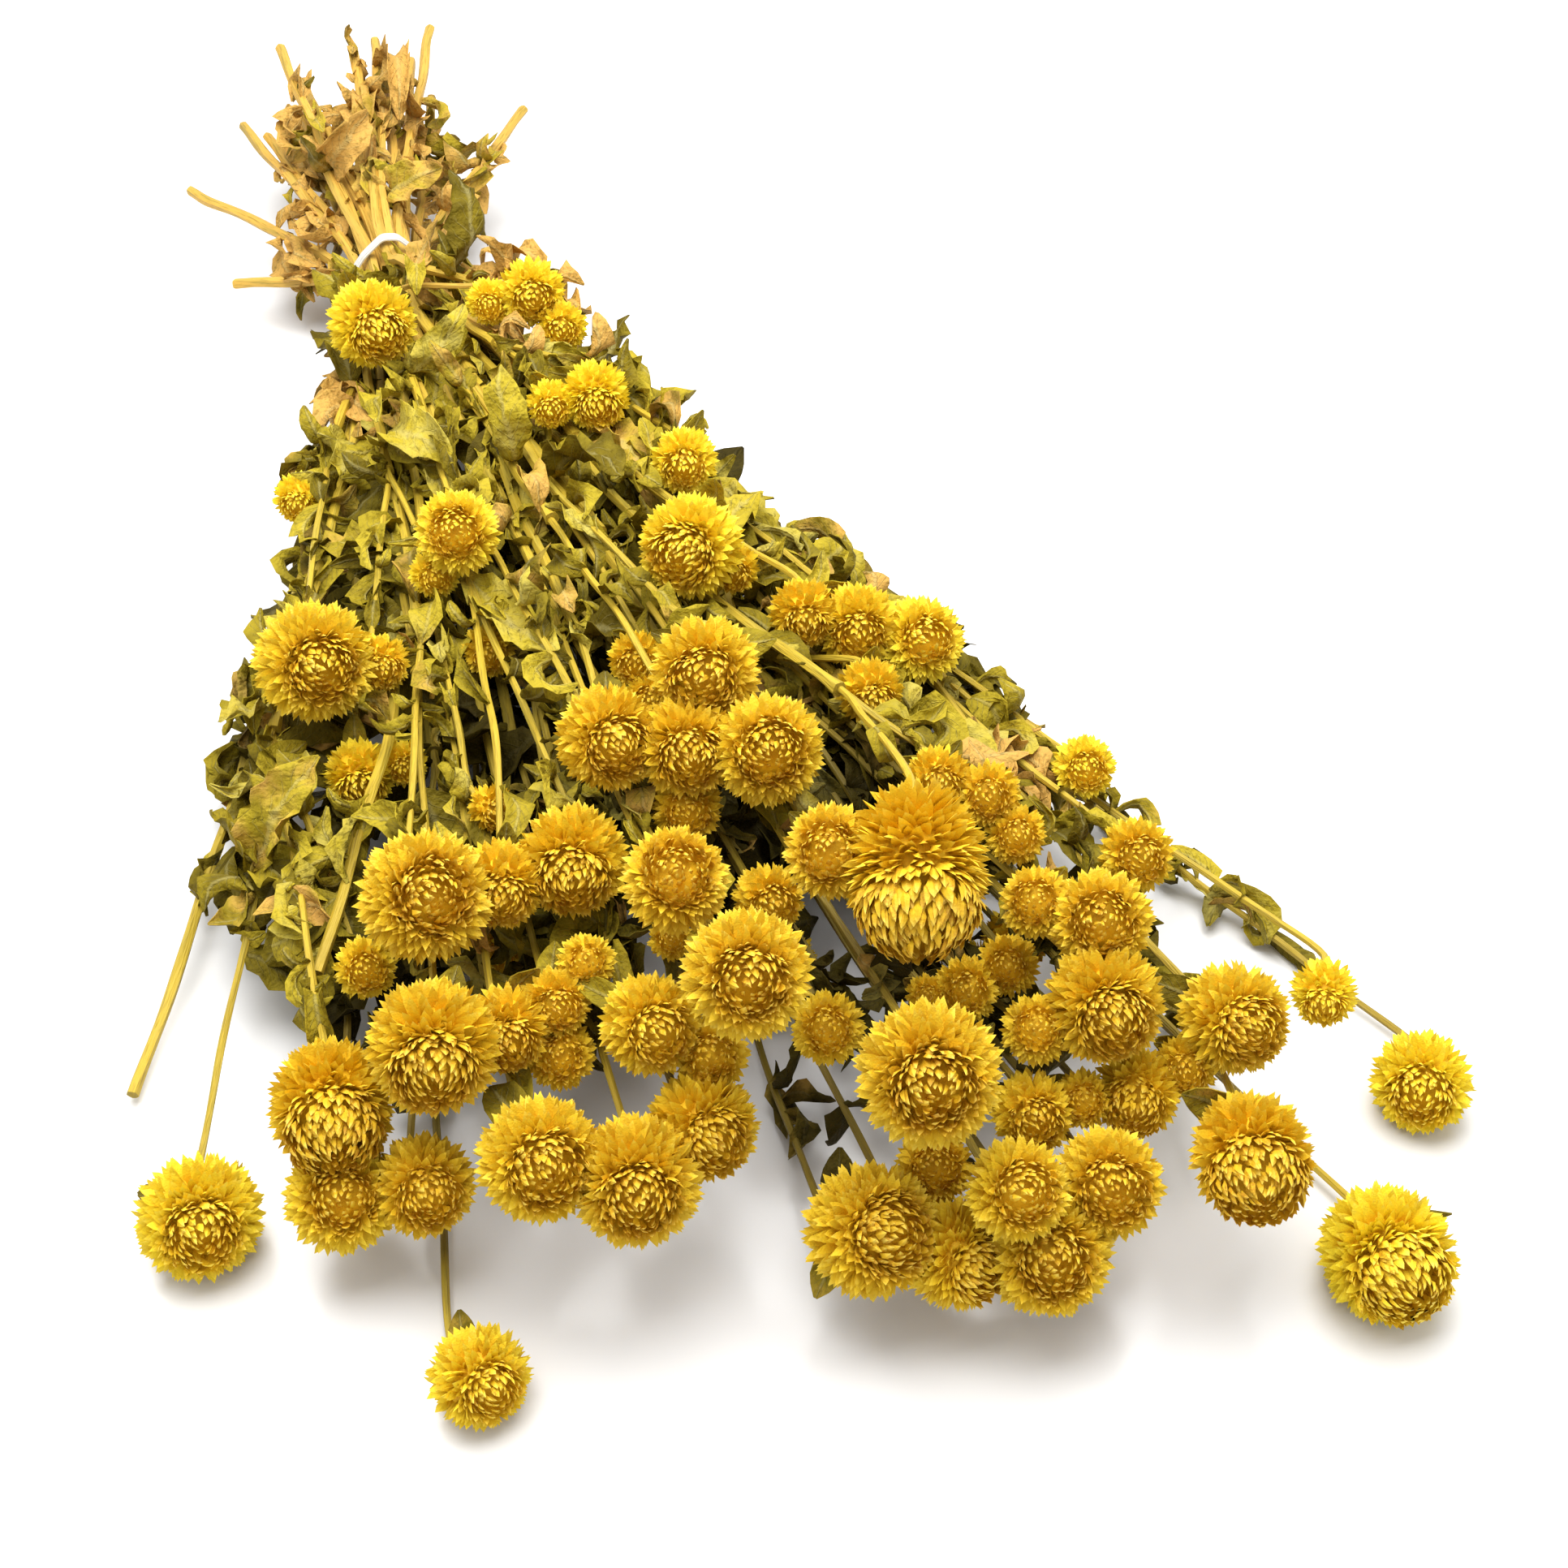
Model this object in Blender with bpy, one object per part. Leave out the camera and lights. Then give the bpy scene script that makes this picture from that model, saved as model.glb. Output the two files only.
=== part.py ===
"""A dried bunch of golden globe amaranth, lying down and held by a thin elastic band.

Lengths are millimetres until a mesh is written in metres. The plan's origin is on the table below
the neck, where the band holds the stalks. The flower heads lie towards -Y, the cut ends towards +Y.
"""

import itertools
import math
import random

import bmesh
import bpy
import numpy as np
from mathutils import Vector
from mathutils.bvhtree import BVHTree

MM = 0.001

# Real sizes that drive the bunch: the tied neck, the stems and their cut ends.
NECK_HEIGHT = 27.0
TIED = 7.0
MAIN_RADIUS = 1.75
ARM_RADIUS = 1.3
BRANCH_RADIUS = 0.95
RADII = {"main": MAIN_RADIUS, "arm": ARM_RADIUS}
NODE_LENGTH = 1.6
NODE_SWELL = 1.15
BUTT_LENGTHS = (62.0, 122.0)
BUTT_SPREAD = 4.2
BUTT_RISE = 1.9
BUTT_STRAY = 5.0
FORK_SHARE = 0.4
STATION_SHARE = 0.62
STRAIGHT_END = 5.0
LONG_WAY = 45.0
LONG_TWIG = 32.0

# The elastic band, and the room between things that touch.
BAND_WIDTH = 3.0
BAND_THICKNESS = 1.1
BAND_CORNERS = 28
CLEARANCE = 0.55
SEAT_GAP = 0.3

# A flower head: its core and the flat of its base as shares of its half sizes, its rows of bracts.
CORE = 0.83
SEAT_DEPTH = 0.73
LAST_ROW = math.radians(160.0)
TIP_LEAN = 0.5
BLUNT_END = 0.97
PRESSED = 0.76
BIG_HEAD = 24.0
MIDDLE_HEAD = 16.0
HEAD_CLUSTERS = 45
MOST_JOINED = 5
JOINED_SHARE = 0.74
LEAST_SHARE = 0.7

# Leaves, dried and curled.
LEAF_LENGTHS = (17.0, 40.0)
LEAF_WIDTHS = (0.28, 0.42)
LEAF_THICKNESS = 1.2
LONG_LEAF = 30.0
LEAF_COUNT = 78
LEAF_ROUNDS = 60
LEAF_TRIES = 40
LONGEST_REACH = 1.2
LEAF_TOP = 84.0
LEAF_BOTTOM = 0.5
LEAF_CLEARANCE = 0.4

# How stems settle: room is made step by step, with no step longer than the stride.
HEAD_STEPS = 500
HEAD_FREE_STEPS = 100
NECK_STEPS = 1500
NECK_FREE_STEPS = 400
STEM_STEPS = 260
STEM_FREE_STEPS = 60
STRIDE = 2.5
NEARBY = 6.0
FAN_ACROSS = 26.0
FAN_UP = 55.0

# How solids are fused.
STEM_SIDES = 4
TWIG_SIDES = 3
WELD = 0.0005
FLAT_ANGLE = math.radians(1.5)
LEAST_VOLUME = 0.75

# How the reference picture was taken: its lens and middle in its own pixels, the eye's real place.
LENS = 2800.0
MIDDLE = 966.0
EYE = np.array((-70.8, -570.8, 385.0))
PITCH = math.radians(45.0)
TURN = math.radians(18.4)
AHEAD = (math.sin(TURN) * math.cos(PITCH), math.cos(TURN) * math.cos(PITCH), -math.sin(PITCH))
FORWARD = np.array(AHEAD)
RIGHT = np.array((math.cos(TURN), -math.sin(TURN), 0.0))
UP = np.cross(RIGHT, FORWARD)

# Each head in view: picture x and y of its middle, real width, height of its middle above the
# table, where its tip shows (right and down of the middle, in half widths), and length by width.
HEADS = {
    "h01": (458, 398, 23.3, 50, 0.3, 0.4, 1.0),
    "h02": (368, 612, 13.1, 30, -0.2, 0.6, 1.0),
    "h03": (567, 650, 20.0, 60, -0.1, 0.0, 1.0),
    "h04": (532, 712, 12.1, 45, 0.1, 0.4, 1.0),
    "h05": (660, 360, 18.4, 50, 0.1, 0.4, 1.0),
    "h06": (690, 400, 14.2, 45, 0.0, 0.4, 1.0),
    "h07": (600, 372, 13.0, 48, 0.0, 0.4, 1.0),
    "h08": (672, 498, 12.9, 52, 0.1, 0.5, 1.0),
    "h09": (740, 485, 17.9, 52, 0.1, 0.6, 1.0),
    "h10": (843, 567, 16.6, 54, 0.0, 0.4, 1.0),
    "h11": (850, 672, 24.0, 63, -0.3, 0.3, 1.0),
    "h12": (905, 700, 12.3, 52, 0.0, 0.5, 1.0),
    "h13": (875, 803, 22.8, 72, -0.1, 0.3, 1.0),
    "h14": (970, 749, 16.0, 60, 0.1, 0.6, 1.0),
    "h15": (1053, 771, 19.8, 48, 0.1, 0.4, 0.95),
    "h16": (1155, 794, 20.3, 42, 0.3, 0.0, 0.95),
    "h17": (1072, 850, 15.1, 52, 0.2, 0.6, 1.0),
    "h18": (378, 815, 27.4, 48, 0.2, 0.2, 0.95),
    "h19": (479, 816, 13.4, 40, 0.2, 0.5, 1.0),
    "h20": (602, 801, 12.7, 38, 0.1, 0.4, 1.0),
    "h21": (785, 810, 13.2, 52, -0.1, 0.4, 1.0),
    "h22": (802, 860, 12.0, 48, -0.1, 0.3, 1.0),
    "h23": (422, 958, 16.4, 25, 0.1, 0.7, 1.0),
    "h24": (518, 935, 11.1, 28, 0.1, 0.5, 1.0),
    "h25": (606, 995, 10.4, 45, 0.5, 0.5, 1.1),
    "h26": (505, 1108, 26.6, 60, 0.2, 0.0, 0.95),
    "h27": (623, 1089, 18.1, 48, 0.0, 0.6, 1.0),
    "h28": (717, 1055, 22.6, 52, 0.0, 0.6, 1.05),
    "h29": (718, 905, 22.0, 64, 0.3, 0.3, 1.0),
    "h30": (841, 926, 21.5, 66, 0.1, 0.4, 1.0),
    "h31": (978, 925, 23.5, 68, 0.1, 0.1, 1.0),
    "h32": (845, 1010, 15.3, 46, 0.1, 0.3, 1.0),
    "h33": (831, 1085, 21.0, 66, 0.1, -0.2, 1.0),
    "h34": (1012, 1040, 19.0, 68, -0.1, 0.0, 1.0),
    "h35": (1143, 1080, 27.6, 77, 0.05, 1.15, 1.3),
    "h36": (1133, 952, 14.0, 60, 0.1, 0.4, 1.0),
    "h37": (920, 1200, 24.5, 67, 0.1, 0.2, 0.95),
    "h38": (946, 1108, 15.0, 46, 0.3, 0.3, 1.0),
    "h39": (741, 1164, 12.2, 44, 0.0, 0.0, 1.0),
    "h40": (693, 1223, 14.5, 41, 0.2, 0.3, 1.0),
    "h41": (785, 1253, 20.1, 50, 0.3, 0.3, 1.0),
    "h42": (826, 1156, 9.5, 40, 0.1, 0.1, 1.0),
    "h43": (1020, 1266, 14.7, 42, 0.0, 0.1, 1.0),
    "h44": (1120, 1228, 8.6, 38, 0.1, 0.2, 1.0),
    "h45": (1236, 981, 14.2, 56, 0.1, 0.2, 1.0),
    "h46": (1255, 1032, 12.9, 51, 0.1, 0.2, 1.0),
    "h47": (1262, 1108, 14.7, 53, -0.1, 0.0, 1.0),
    "h48": (1370, 1121, 20.6, 54, 0.1, 0.1, 1.0),
    "h49": (1400, 1053, 16.2, 40, 0.2, 0.2, 1.0),
    "h50": (1335, 945, 14.5, 33, 0.2, 0.2, 1.0),
    "h51": (1375, 1253, 23.5, 46, 0.3, 0.5, 1.0),
    "h52": (1266, 1273, 14.3, 40, 0.0, 0.0, 1.0),
    "h53": (1530, 1242, 22.2, 42, 0.5, 0.3, 1.0),
    "h54": (1631, 1222, 14.3, 26, 0.0, 0.7, 1.0),
    "h55": (1755, 1322, 21.3, 11, 0.0, 0.4, 1.0),
    "h56": (1324, 1350, 12.1, 31, 0.0, 0.2, 1.0),
    "h57": (1415, 1345, 17.5, 27, -0.1, 0.6, 1.1),
    "h58": (1467, 1315, 12.9, 27, 0.0, 0.4, 1.0),
    "h59": (1542, 1425, 23.2, 36, 0.2, 0.7, 1.24),
    "h60": (1378, 1443, 21.4, 31, 0.2, 0.2, 1.0),
    "h61": (1253, 1467, 19.7, 37, 0.3, 0.1, 1.0),
    "h62": (1303, 1554, 24.8, 22, 0.2, 0.3, 0.95),
    "h63": (1176, 1553, 21.4, 19, 0.7, 0.4, 1.0),
    "h64": (1048, 1504, 25.6, 23, 0.5, 0.1, 1.0),
    "h65": (1145, 1323, 27.1, 58, 0.1, 0.3, 0.95),
    "h66": (1248, 1377, 16.7, 31, 0.2, 0.4, 1.0),
    "h67": (1152, 1440, 15.4, 22, 0.1, 0.1, 1.0),
    "h68": (1258, 1180, 13.1, 35, 0.0, 0.1, 1.0),
    "h69": (1195, 1226, 13.8, 34, 0.0, 0.1, 1.0),
    "h70": (1709, 1545, 26.0, 10, 0.4, 0.6, 1.14),
    "h71": (245, 1498, 25.1, 10, 0.0, 0.2, 0.95),
    "h72": (409, 1500, 22.6, 18, 0.0, 0.1, 0.95),
    "h73": (408, 1336, 23.9, 35, 0.1, 0.8, 1.24),
    "h74": (511, 1295, 25.9, 54, 0.0, 0.6, 1.0),
    "h75": (611, 1279, 17.5, 42, 0.2, 0.6, 1.0),
    "h76": (640, 1422, 23.9, 39, 0.2, 0.3, 1.0),
    "h77": (537, 1457, 20.2, 24, 0.2, 0.4, 1.0),
    "h78": (590, 1694, 19.7, 8, 0.2, 0.0, 0.95),
    "h79": (450, 1192, 13.3, 30, 0.1, 0.2, 1.0),
    "h80": (691, 1317, 14.5, 27, 0.0, 0.2, 1.0),
    "h81": (893, 1301, 15.4, 37, 0.0, 0.2, 1.0),
    "h82": (866, 1390, 21.9, 33, 0.4, 0.5, 1.0),
    "h83": (805, 1461, 25.2, 33, 0.1, 0.5, 0.95),
}

# The heads that the bunch hides: real place on the plan, width and height above the table.
HIDDEN_HEADS = {
    "u01": (-30, -242, 16.0, 13),
    "u02": (-14, -249, 18.0, 13),
    "u03": (14, -262, 17.0, 13),
    "u04": (30, -270, 18.0, 13),
    "u05": (66, -288, 16.0, 14),
    "u06": (80, -279, 15.0, 15),
    "u07": (6, -212, 15.0, 15),
    "u08": (20, -221, 16.0, 14),
}
PRESSED_HEADS = ("h55", "h70", "h71", "h78")

# Each spray is two plants that grow into one: four stalks, the first two forking from one main
# stem and the last two from the other. A stalk has the heads that it carries and, where the
# picture shows its course, points on the way (picture x and y, real height).
SPRAYS = {
    "far_left": [
        (("h71",), [(440, 590, 34), (345, 735, 30), (300, 910, 26), (318, 1080, 22)]),
        (("h73", "h79"), [(455, 600, 38), (380, 740, 33), (335, 900, 28)]),
        (("h72",), []),
        ((), [(430, 590, 30), (332, 735, 24), (290, 910, 16), (275, 1110, 8), (165, 1350, 3)]),
    ],
    "left": [
        (("h02", "h18"), []),
        (("h19", "h04"), []),
        (("h26",), []),
        (("h74",), []),
    ],
    "left_low": [
        (("h77", "h76"), []),
        (("h78",), []),
        (("h23", "h24"), []),
        ((), [(575, 715, 40), (545, 840, 38), (490, 950, 34), (430, 1080, 30), (392, 1200, 26)]),
    ],
    "left_top": [
        (("h03",), []),
        (("h29", "h20"), []),
        (("h28", "h27"), []),
        (("h25", "h75"), []),
    ],
    "middle_low": [
        (("h83",), []),
        (("h82", "h81"), []),
        (("h40", "h80"), []),
        (("h41", "h39"), []),
    ],
    "middle_top": [
        (("h13", "h21"), []),
        (("h30",), []),
        (("h33", "h32"), []),
        (("h22", "h42"), []),
    ],
    "middle_right": [
        (("h31",), []),
        (("h34",), []),
        (("h37",), []),
        (("h38", "h43"), []),
    ],
    "crown": [
        (("h01", "h07"), []),
        (("h05", "h06"), []),
        (("h08", "h09"), []),
        (("h10",), []),
    ],
    "right_top": [
        (("h11", "h12"), []),
        (("h14", "h17"), []),
        (("h35", "h36"), [(935, 748, 52), (1050, 840, 58)]),
        (("h65",), []),
    ],
    "right_middle": [
        (("h15", "h16"), []),
        (("h45", "h46"), []),
        (("h47", "h68"), []),
        (("h48", "h69"), []),
    ],
    "front_low": [
        (("h64", "h67"), []),
        (("h63",), []),
        (("h61", "h66"), []),
        (("h62", "h44"), []),
    ],
    "far_right": [
        (("h49", "h50"), []),
        (("h51", "h52"), []),
        (("h53", "h54"), []),
        (("h55",), []),
    ],
    "right_low": [
        (("h57", "h58"), []),
        (("h59",), []),
        (("h60", "h56"), []),
        (("h70",), []),
    ],
    "underside": [
        (("u01", "u02"), []),
        (("u03", "u04"), []),
        (("u05", "u06"), []),
        (("u07", "u08"), []),
    ],
}

# The large leaves in view, by spray: where each shows its root and its tip (picture x and y, real
# height), and its real width.
LARGE_LEAVES = {
    "far_left": [
        ((322, 1075, 24), (262, 1008, 26), 13),
        ((318, 1060, 24), (300, 930, 30), 12),
        ((335, 1075, 24), (440, 945, 34), 14),
        ((320, 1090, 22), (270, 1065, 16), 10),
        ((332, 1085, 22), (392, 1125, 20), 11),
        ((470, 500, 42), (420, 590, 36), 17),
    ],
    "left": [
        ((505, 480, 52), (560, 590, 48), 15),
        ((420, 640, 42), (350, 690, 30), 10),
        ((410, 470, 34), (390, 440, 24), 12),
    ],
    "left_low": [
        ((500, 890, 40), (400, 930, 36), 12),
        ((370, 190, 36), (345, 90, 38), 14),
    ],
    "left_top": [
        ((640, 640, 56), (690, 820, 52), 13),
        ((455, 170, 44), (500, 120, 50), 14),
    ],
    "middle_top": [
        ((700, 560, 58), (770, 610, 56), 16),
        ((470, 260, 46), (500, 190, 50), 12),
    ],
    "crown": [
        ((560, 440, 58), (640, 470, 58), 14),
        ((560, 230, 40), (620, 200, 46), 12),
    ],
    "right_top": [
        ((720, 440, 48), (790, 350, 56), 15),
        ((900, 640, 54), (960, 580, 50), 11),
        ((610, 300, 42), (700, 300, 44), 12),
    ],
    "right_middle": [
        ((1095, 745, 40), (1100, 655, 52), 11),
        ((1200, 890, 36), (1290, 880, 40), 9),
    ],
    "far_right": [
        ((1330, 1010, 34), (1420, 1010, 30), 10),
        ((1500, 1150, 26), (1575, 1170, 16), 9),
        ((1440, 1110, 30), (1490, 1080, 28), 8),
    ],
    "middle_right": [
        ((880, 880, 56), (960, 860, 56), 9),
    ],
    "front_low": [
        ((1060, 1360, 30), (1020, 1420, 26), 8),
    ],
}

# Cut ends that the picture shows, by spray and main stem: picture x and y, and real height.
CUT_ENDS = {
    ("far_left", 0): (235, 235, 14),
    ("far_left", 1): (290, 350, 12),
    ("left", 0): (300, 155, 24),
    ("left", 1): (330, 170, 24),
    ("left_top", 1): (355, 60, 40),
    ("crown", 0): (435, 60, 46),
    ("crown", 1): (462, 50, 44),
    ("right_top", 0): (530, 35, 38),
    ("far_right", 0): (645, 135, 22),
}

# The bunch's sides in the picture, as far as leaves may reach: y, left x and right x.
LEAFY_SIDES = ((40, 300, 620), (300, 340, 740), (480, 380, 850), (700, 320, 1130), (900, 260, 1310),
               (1150, 240, 1600), (1250, 330, 1650))


def unit(vector):
    """The same direction, one long."""
    return vector / max(np.linalg.norm(vector), 1e-9)


def place(x, y, height):
    """The real point that the picture shows at pixel x, y, at a known height above the table."""
    ray = FORWARD + (x - MIDDLE) / LENS * RIGHT - (y - MIDDLE) / LENS * UP
    return EYE + ray * (height - EYE[2]) / ray[2]


def read_heads():
    """Every head as a record of its middle, its axis towards the tip, its width and length."""
    heads = {}
    for name, (x, y, width, height, lean_right, lean_down, ratio) in HEADS.items():
        centre = place(x, y, height)
        sight = unit(EYE - centre)
        right = unit(np.cross(sight, UP)) * -1.0
        down = np.cross(right, sight)
        across = np.array((lean_right, lean_down)) / max(ratio, 1.0)
        towards = math.sqrt(max(1.0 - across @ across, 0.08))
        axis = unit(across[0] * right + across[1] * down + towards * sight)
        heads[name] = {"centre": centre, "axis": axis, "width": width, "length": width * ratio}
    for name, (x, y, width, height) in HIDDEN_HEADS.items():
        axis = unit(np.array((x * 0.004, -1.0, -0.1)))
        centre = np.array((x, y, height), float)
        heads[name] = {"centre": centre, "axis": axis, "width": width, "length": width}
    for name, head in heads.items():
        reach = head["length"] / 2.0 + 4.0
        if name in PRESSED_HEADS:
            head["centre"][2] = PRESSED * head["width"] / 2.0
        steepest = max(0.0, (head["centre"][2] - 2.2) / reach)
        if head["axis"][2] > steepest:
            flat = unit(head["axis"] * np.array((1.0, 1.0, 0.0)))
            head["axis"] = flat * math.sqrt(1.0 - steepest**2) + np.array((0.0, 0.0, steepest))
    return heads


def cluster_heads(heads):
    """Join the closest heads, a few together, and return cluster numbers and joined pairs."""
    names = list(heads)
    cluster = {name: {name} for name in names}
    gaps = []
    for i, a in enumerate(names):
        for b in names[i + 1 :]:
            apart = np.linalg.norm(heads[a]["centre"] - heads[b]["centre"])
            gaps.append((apart - (heads[a]["width"] + heads[b]["width"]) / 2.0, a, b))
    pairs = []
    count = len(names)
    for gap, a, b in sorted(gaps):
        if count <= HEAD_CLUSTERS:
            break
        if cluster[a] is cluster[b] or len(cluster[a]) + len(cluster[b]) > MOST_JOINED:
            continue
        joined = cluster[a] | cluster[b]
        for name in joined:
            cluster[name] = joined
        pairs.append((a, b))
        count -= 1
    order = []
    for name in names:
        if cluster[name] not in order:
            order.append(cluster[name])
    return {name: order.index(cluster[name]) for name in names}, pairs


def settle_heads(heads, cluster, pairs):
    """Move heads that would overlap apart, and the joined ones into each other, by small steps."""
    names = list(heads)
    centre = np.array([heads[n]["centre"] for n in names])
    home = centre.copy()
    axis = np.array([heads[n]["axis"] for n in names])
    group = np.array([cluster[n] for n in names])
    owner, offset, radius, body = [], [], [], []
    for i, n in enumerate(names):
        half_width = heads[n]["width"] / 2.0
        half_length = heads[n]["length"] / 2.0
        shift = max(0.0, half_length - half_width)
        for along in sorted({shift, -shift}):
            owner.append(i)
            offset.append(along)
            radius.append(half_width)
            body.append(True)
        for behind in (2.0, 5.0):
            owner.append(i)
            offset.append(-half_length - behind)
            radius.append(1.6)
            body.append(False)
    owner, offset, radius, body = (np.array(column) for column in (owner, offset, radius, body))
    first, second = np.triu_indices(len(owner), 1)
    keep = owner[first] != owner[second]
    first, second = first[keep], second[keep]
    both = body[first] & body[second] & (group[owner[first]] == group[owner[second]])
    reach = radius[first] + radius[second]
    need = np.where(both, LEAST_SHARE * reach, reach + CLEARANCE)
    joined = [(names.index(a), names.index(b)) for a, b in pairs]
    pressed = np.array([n in PRESSED_HEADS for n in names])
    lowest = np.array([heads[n]["width"] / 2.0 + 0.4 for n in names])
    for step in range(HEAD_STEPS):
        ball = centre[owner] + offset[:, None] * axis[owner]
        apart = ball[first] - ball[second]
        far = np.linalg.norm(apart, axis=1)
        hit = need > far
        move = (apart[hit] / far[hit, None]) * (need - far)[hit, None] * 0.3
        push = np.zeros_like(centre)
        np.add.at(push, owner[first[hit]], move)
        np.add.at(push, owner[second[hit]], -move)
        for i, j in joined:
            between = centre[j] - centre[i]
            distance = np.linalg.norm(between)
            wanted = JOINED_SHARE * (heads[names[i]]["width"] + heads[names[j]]["width"]) / 2.0
            pull = unit(between) * (distance - wanted) * 0.35
            push[i] += pull
            push[j] -= pull
        if step < HEAD_STEPS - HEAD_FREE_STEPS:
            sight = home - EYE
            sight /= np.linalg.norm(sight, axis=1)[:, None]
            astray = home - centre
            push += 0.04 * (astray - 0.8 * (astray * sight).sum(axis=1)[:, None] * sight)
        centre = centre + push
        centre[:, 2] = np.where(pressed, home[:, 2], np.maximum(centre[:, 2], lowest))
    for n, point in zip(names, centre):
        heads[n]["centre"] = point


def curve(start, leave, end, arrive, count):
    """Points of a smooth curve between two points with given directions at both, ends included."""
    points = []
    for i in range(count + 1):
        t = i / count
        a = 2 * t**3 - 3 * t**2 + 1
        b = t**3 - 2 * t**2 + t
        c = -2 * t**3 + 3 * t**2
        d = t**3 - t**2
        points.append(a * start + b * leave + c * end + d * arrive)
    return points


def seat(head):
    """Where a head's stalk ends, a hair behind the flat of its base."""
    return head["centre"] - head["axis"] * (SEAT_DEPTH * head["length"] / 2.0 + SEAT_GAP)


def pack_neck(targets, sprays):
    """Places of the stalks in the neck's section: packed round, a spray's own stalks joined."""
    fan = []
    for target in targets:
        run = math.hypot(target[0], target[1])
        across = math.atan2(target[0], -target[1]) * FAN_ACROSS
        fan.append((across, (target[2] - NECK_HEIGHT) / run * FAN_UP))
    disc = np.array(fan)
    disc -= disc.mean(axis=0)
    first, second = np.triu_indices(len(disc), 1)
    own = sprays[first] == sprays[second]
    need = np.where(own, 1.1 * MAIN_RADIUS, 2.0 * MAIN_RADIUS + CLEARANCE)
    chain = own & (second == first + 1)
    for step in range(NECK_STEPS):
        apart = disc[first] - disc[second]
        far = np.maximum(np.linalg.norm(apart, axis=1), 1e-6)
        gain = np.where(need > far, 0.35 * (need - far), 0.0)
        gain = np.where(chain & (far > need), 0.35 * (need - far), gain)
        move = apart / far[:, None] * gain[:, None]
        np.add.at(disc, first, move)
        np.add.at(disc, second, -move)
        if step < NECK_STEPS - NECK_FREE_STEPS:
            disc *= 0.997
    return disc


def lay_stems(heads):
    """Route every stem from its cut end through the neck, fork by fork, to its heads.

    Two neighbouring stalks of a spray share one main stem. Returns the points, whether each may
    move, the runs (a spray's number, a kind and point numbers) and the packed neck section.
    """
    mains = []
    for number, stalks in enumerate(SPRAYS.values()):
        for pair in (stalks[:2], stalks[2:]):
            ends = [[seat(heads[h]) for h in carried] or [place(*way[-1])] for carried, way in pair]
            ends = [np.mean(end, axis=0) for end in ends]
            mains.append((number, pair, ends))
    targets = [np.mean(ends, axis=0) for number, pair, ends in mains]
    disc = pack_neck(targets, np.array([number for number, pair, ends in mains]))
    points, free, runs = [], [], []

    def add(point, loose):
        points.append(np.array(point, float))
        free.append(1.0 if loose else 0.0)
        return len(points) - 1

    chance = random.Random(11)
    forward = np.array((0.0, -1.0, 0.0))
    sprays = list(SPRAYS)
    for turn, ((number, pair, ends), (across, above)) in enumerate(zip(mains, disc)):
        neck = np.array((across, 0.0, NECK_HEIGHT + above))
        start = neck + forward * TIED
        finish_tied = neck - forward * TIED
        length = chance.uniform(*BUTT_LENGTHS)
        share = length / BUTT_LENGTHS[1]
        spread = 1.0 + (BUTT_SPREAD - 1.0) * share
        rise = 1.0 + (BUTT_RISE - 1.0) * share
        stray = chance.uniform(-BUTT_STRAY, BUTT_STRAY)
        butt = np.array((across * spread + stray, length, NECK_HEIGHT + above * rise))
        if (sprays[number], turn % 2) in CUT_ENDS:
            butt = place(*CUT_ENDS[sprays[number], turn % 2])
        butt[2] = max(butt[2], MAIN_RADIUS + 0.1)
        reached = []
        for (carried, way), end in zip(pair, ends):
            reached.append([place(*w) for w in way] or [start + (end - start) * STATION_SHARE])
        middle = np.mean([stations[0] for stations in reached], axis=0)
        fork = start + (middle - start) * FORK_SHARE
        heading = unit(middle - start)
        size = np.linalg.norm(fork - start)
        rise_to_fork = curve(start, forward * size, fork, heading * size, 2)[1:]
        index = [add(butt, True), add(finish_tied, False), add(start, False)]
        index += [add(p, True) for p in rise_to_fork]
        runs.append((number, "main", index))
        for (carried, way), end, stations in zip(pair, ends, reached):
            arm = [index[-1]]
            before, leaving = fork, heading
            for i, station in enumerate(stations):
                size = np.linalg.norm(station - before)
                if i + 1 < len(stations):
                    arriving = unit(stations[i + 1] - before)
                elif carried:
                    arriving = unit(end - station)
                else:
                    arriving = unit(station - before)
                steps = 1 if len(stations) > 1 and size < LONG_WAY else 2
                course = curve(before, leaving * size, station, arriving * size, steps)
                arm += [add(p, True) for p in course[1:]]
                before, leaving = station, arriving
            runs.append((number, "arm", arm))
            for h in carried:
                stop = seat(heads[h])
                axis = heads[h]["axis"]
                approach = stop - axis * STRAIGHT_END
                size = np.linalg.norm(approach - before)
                steps = 2 if size < LONG_TWIG else 3
                course = curve(before, leaving * size, approach, axis * size * 0.8, steps)
                twig = [arm[-1]] + [add(p, True) for p in course[1:-1]]
                twig += [add(approach, False), add(stop, False)]
                runs.append((number, h, twig))
    return np.array(points), np.array(free), runs, disc


def segments(runs):
    """Start, end, radius, spray and head of every straight piece of the runs."""
    rows = []
    names = {}
    for number, kind, index in runs:
        radius = RADII.get(kind, BRANCH_RADIUS)
        for a, b in zip(index, index[1:]):
            rows.append((a, b, radius, number, names.setdefault(kind, len(names))))
    return rows, names


def closest(p, u, q, v):
    """Where two straight pieces come closest: their shares along, and the gap as a vector."""
    w = p - q
    a = (u * u).sum(1)
    b = (u * v).sum(1)
    c = (v * v).sum(1)
    d = (u * w).sum(1)
    e = (v * w).sum(1)
    det = np.maximum(a * c - b * b, 1e-9)
    s = np.clip((b * e - c * d) / det, 0.0, 1.0)
    t = np.clip((b * s + e) / np.maximum(c, 1e-9), 0.0, 1.0)
    s = np.clip((b * t - d) / np.maximum(a, 1e-9), 0.0, 1.0)
    return s, t, w + s[:, None] * u - t[:, None] * v


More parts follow.
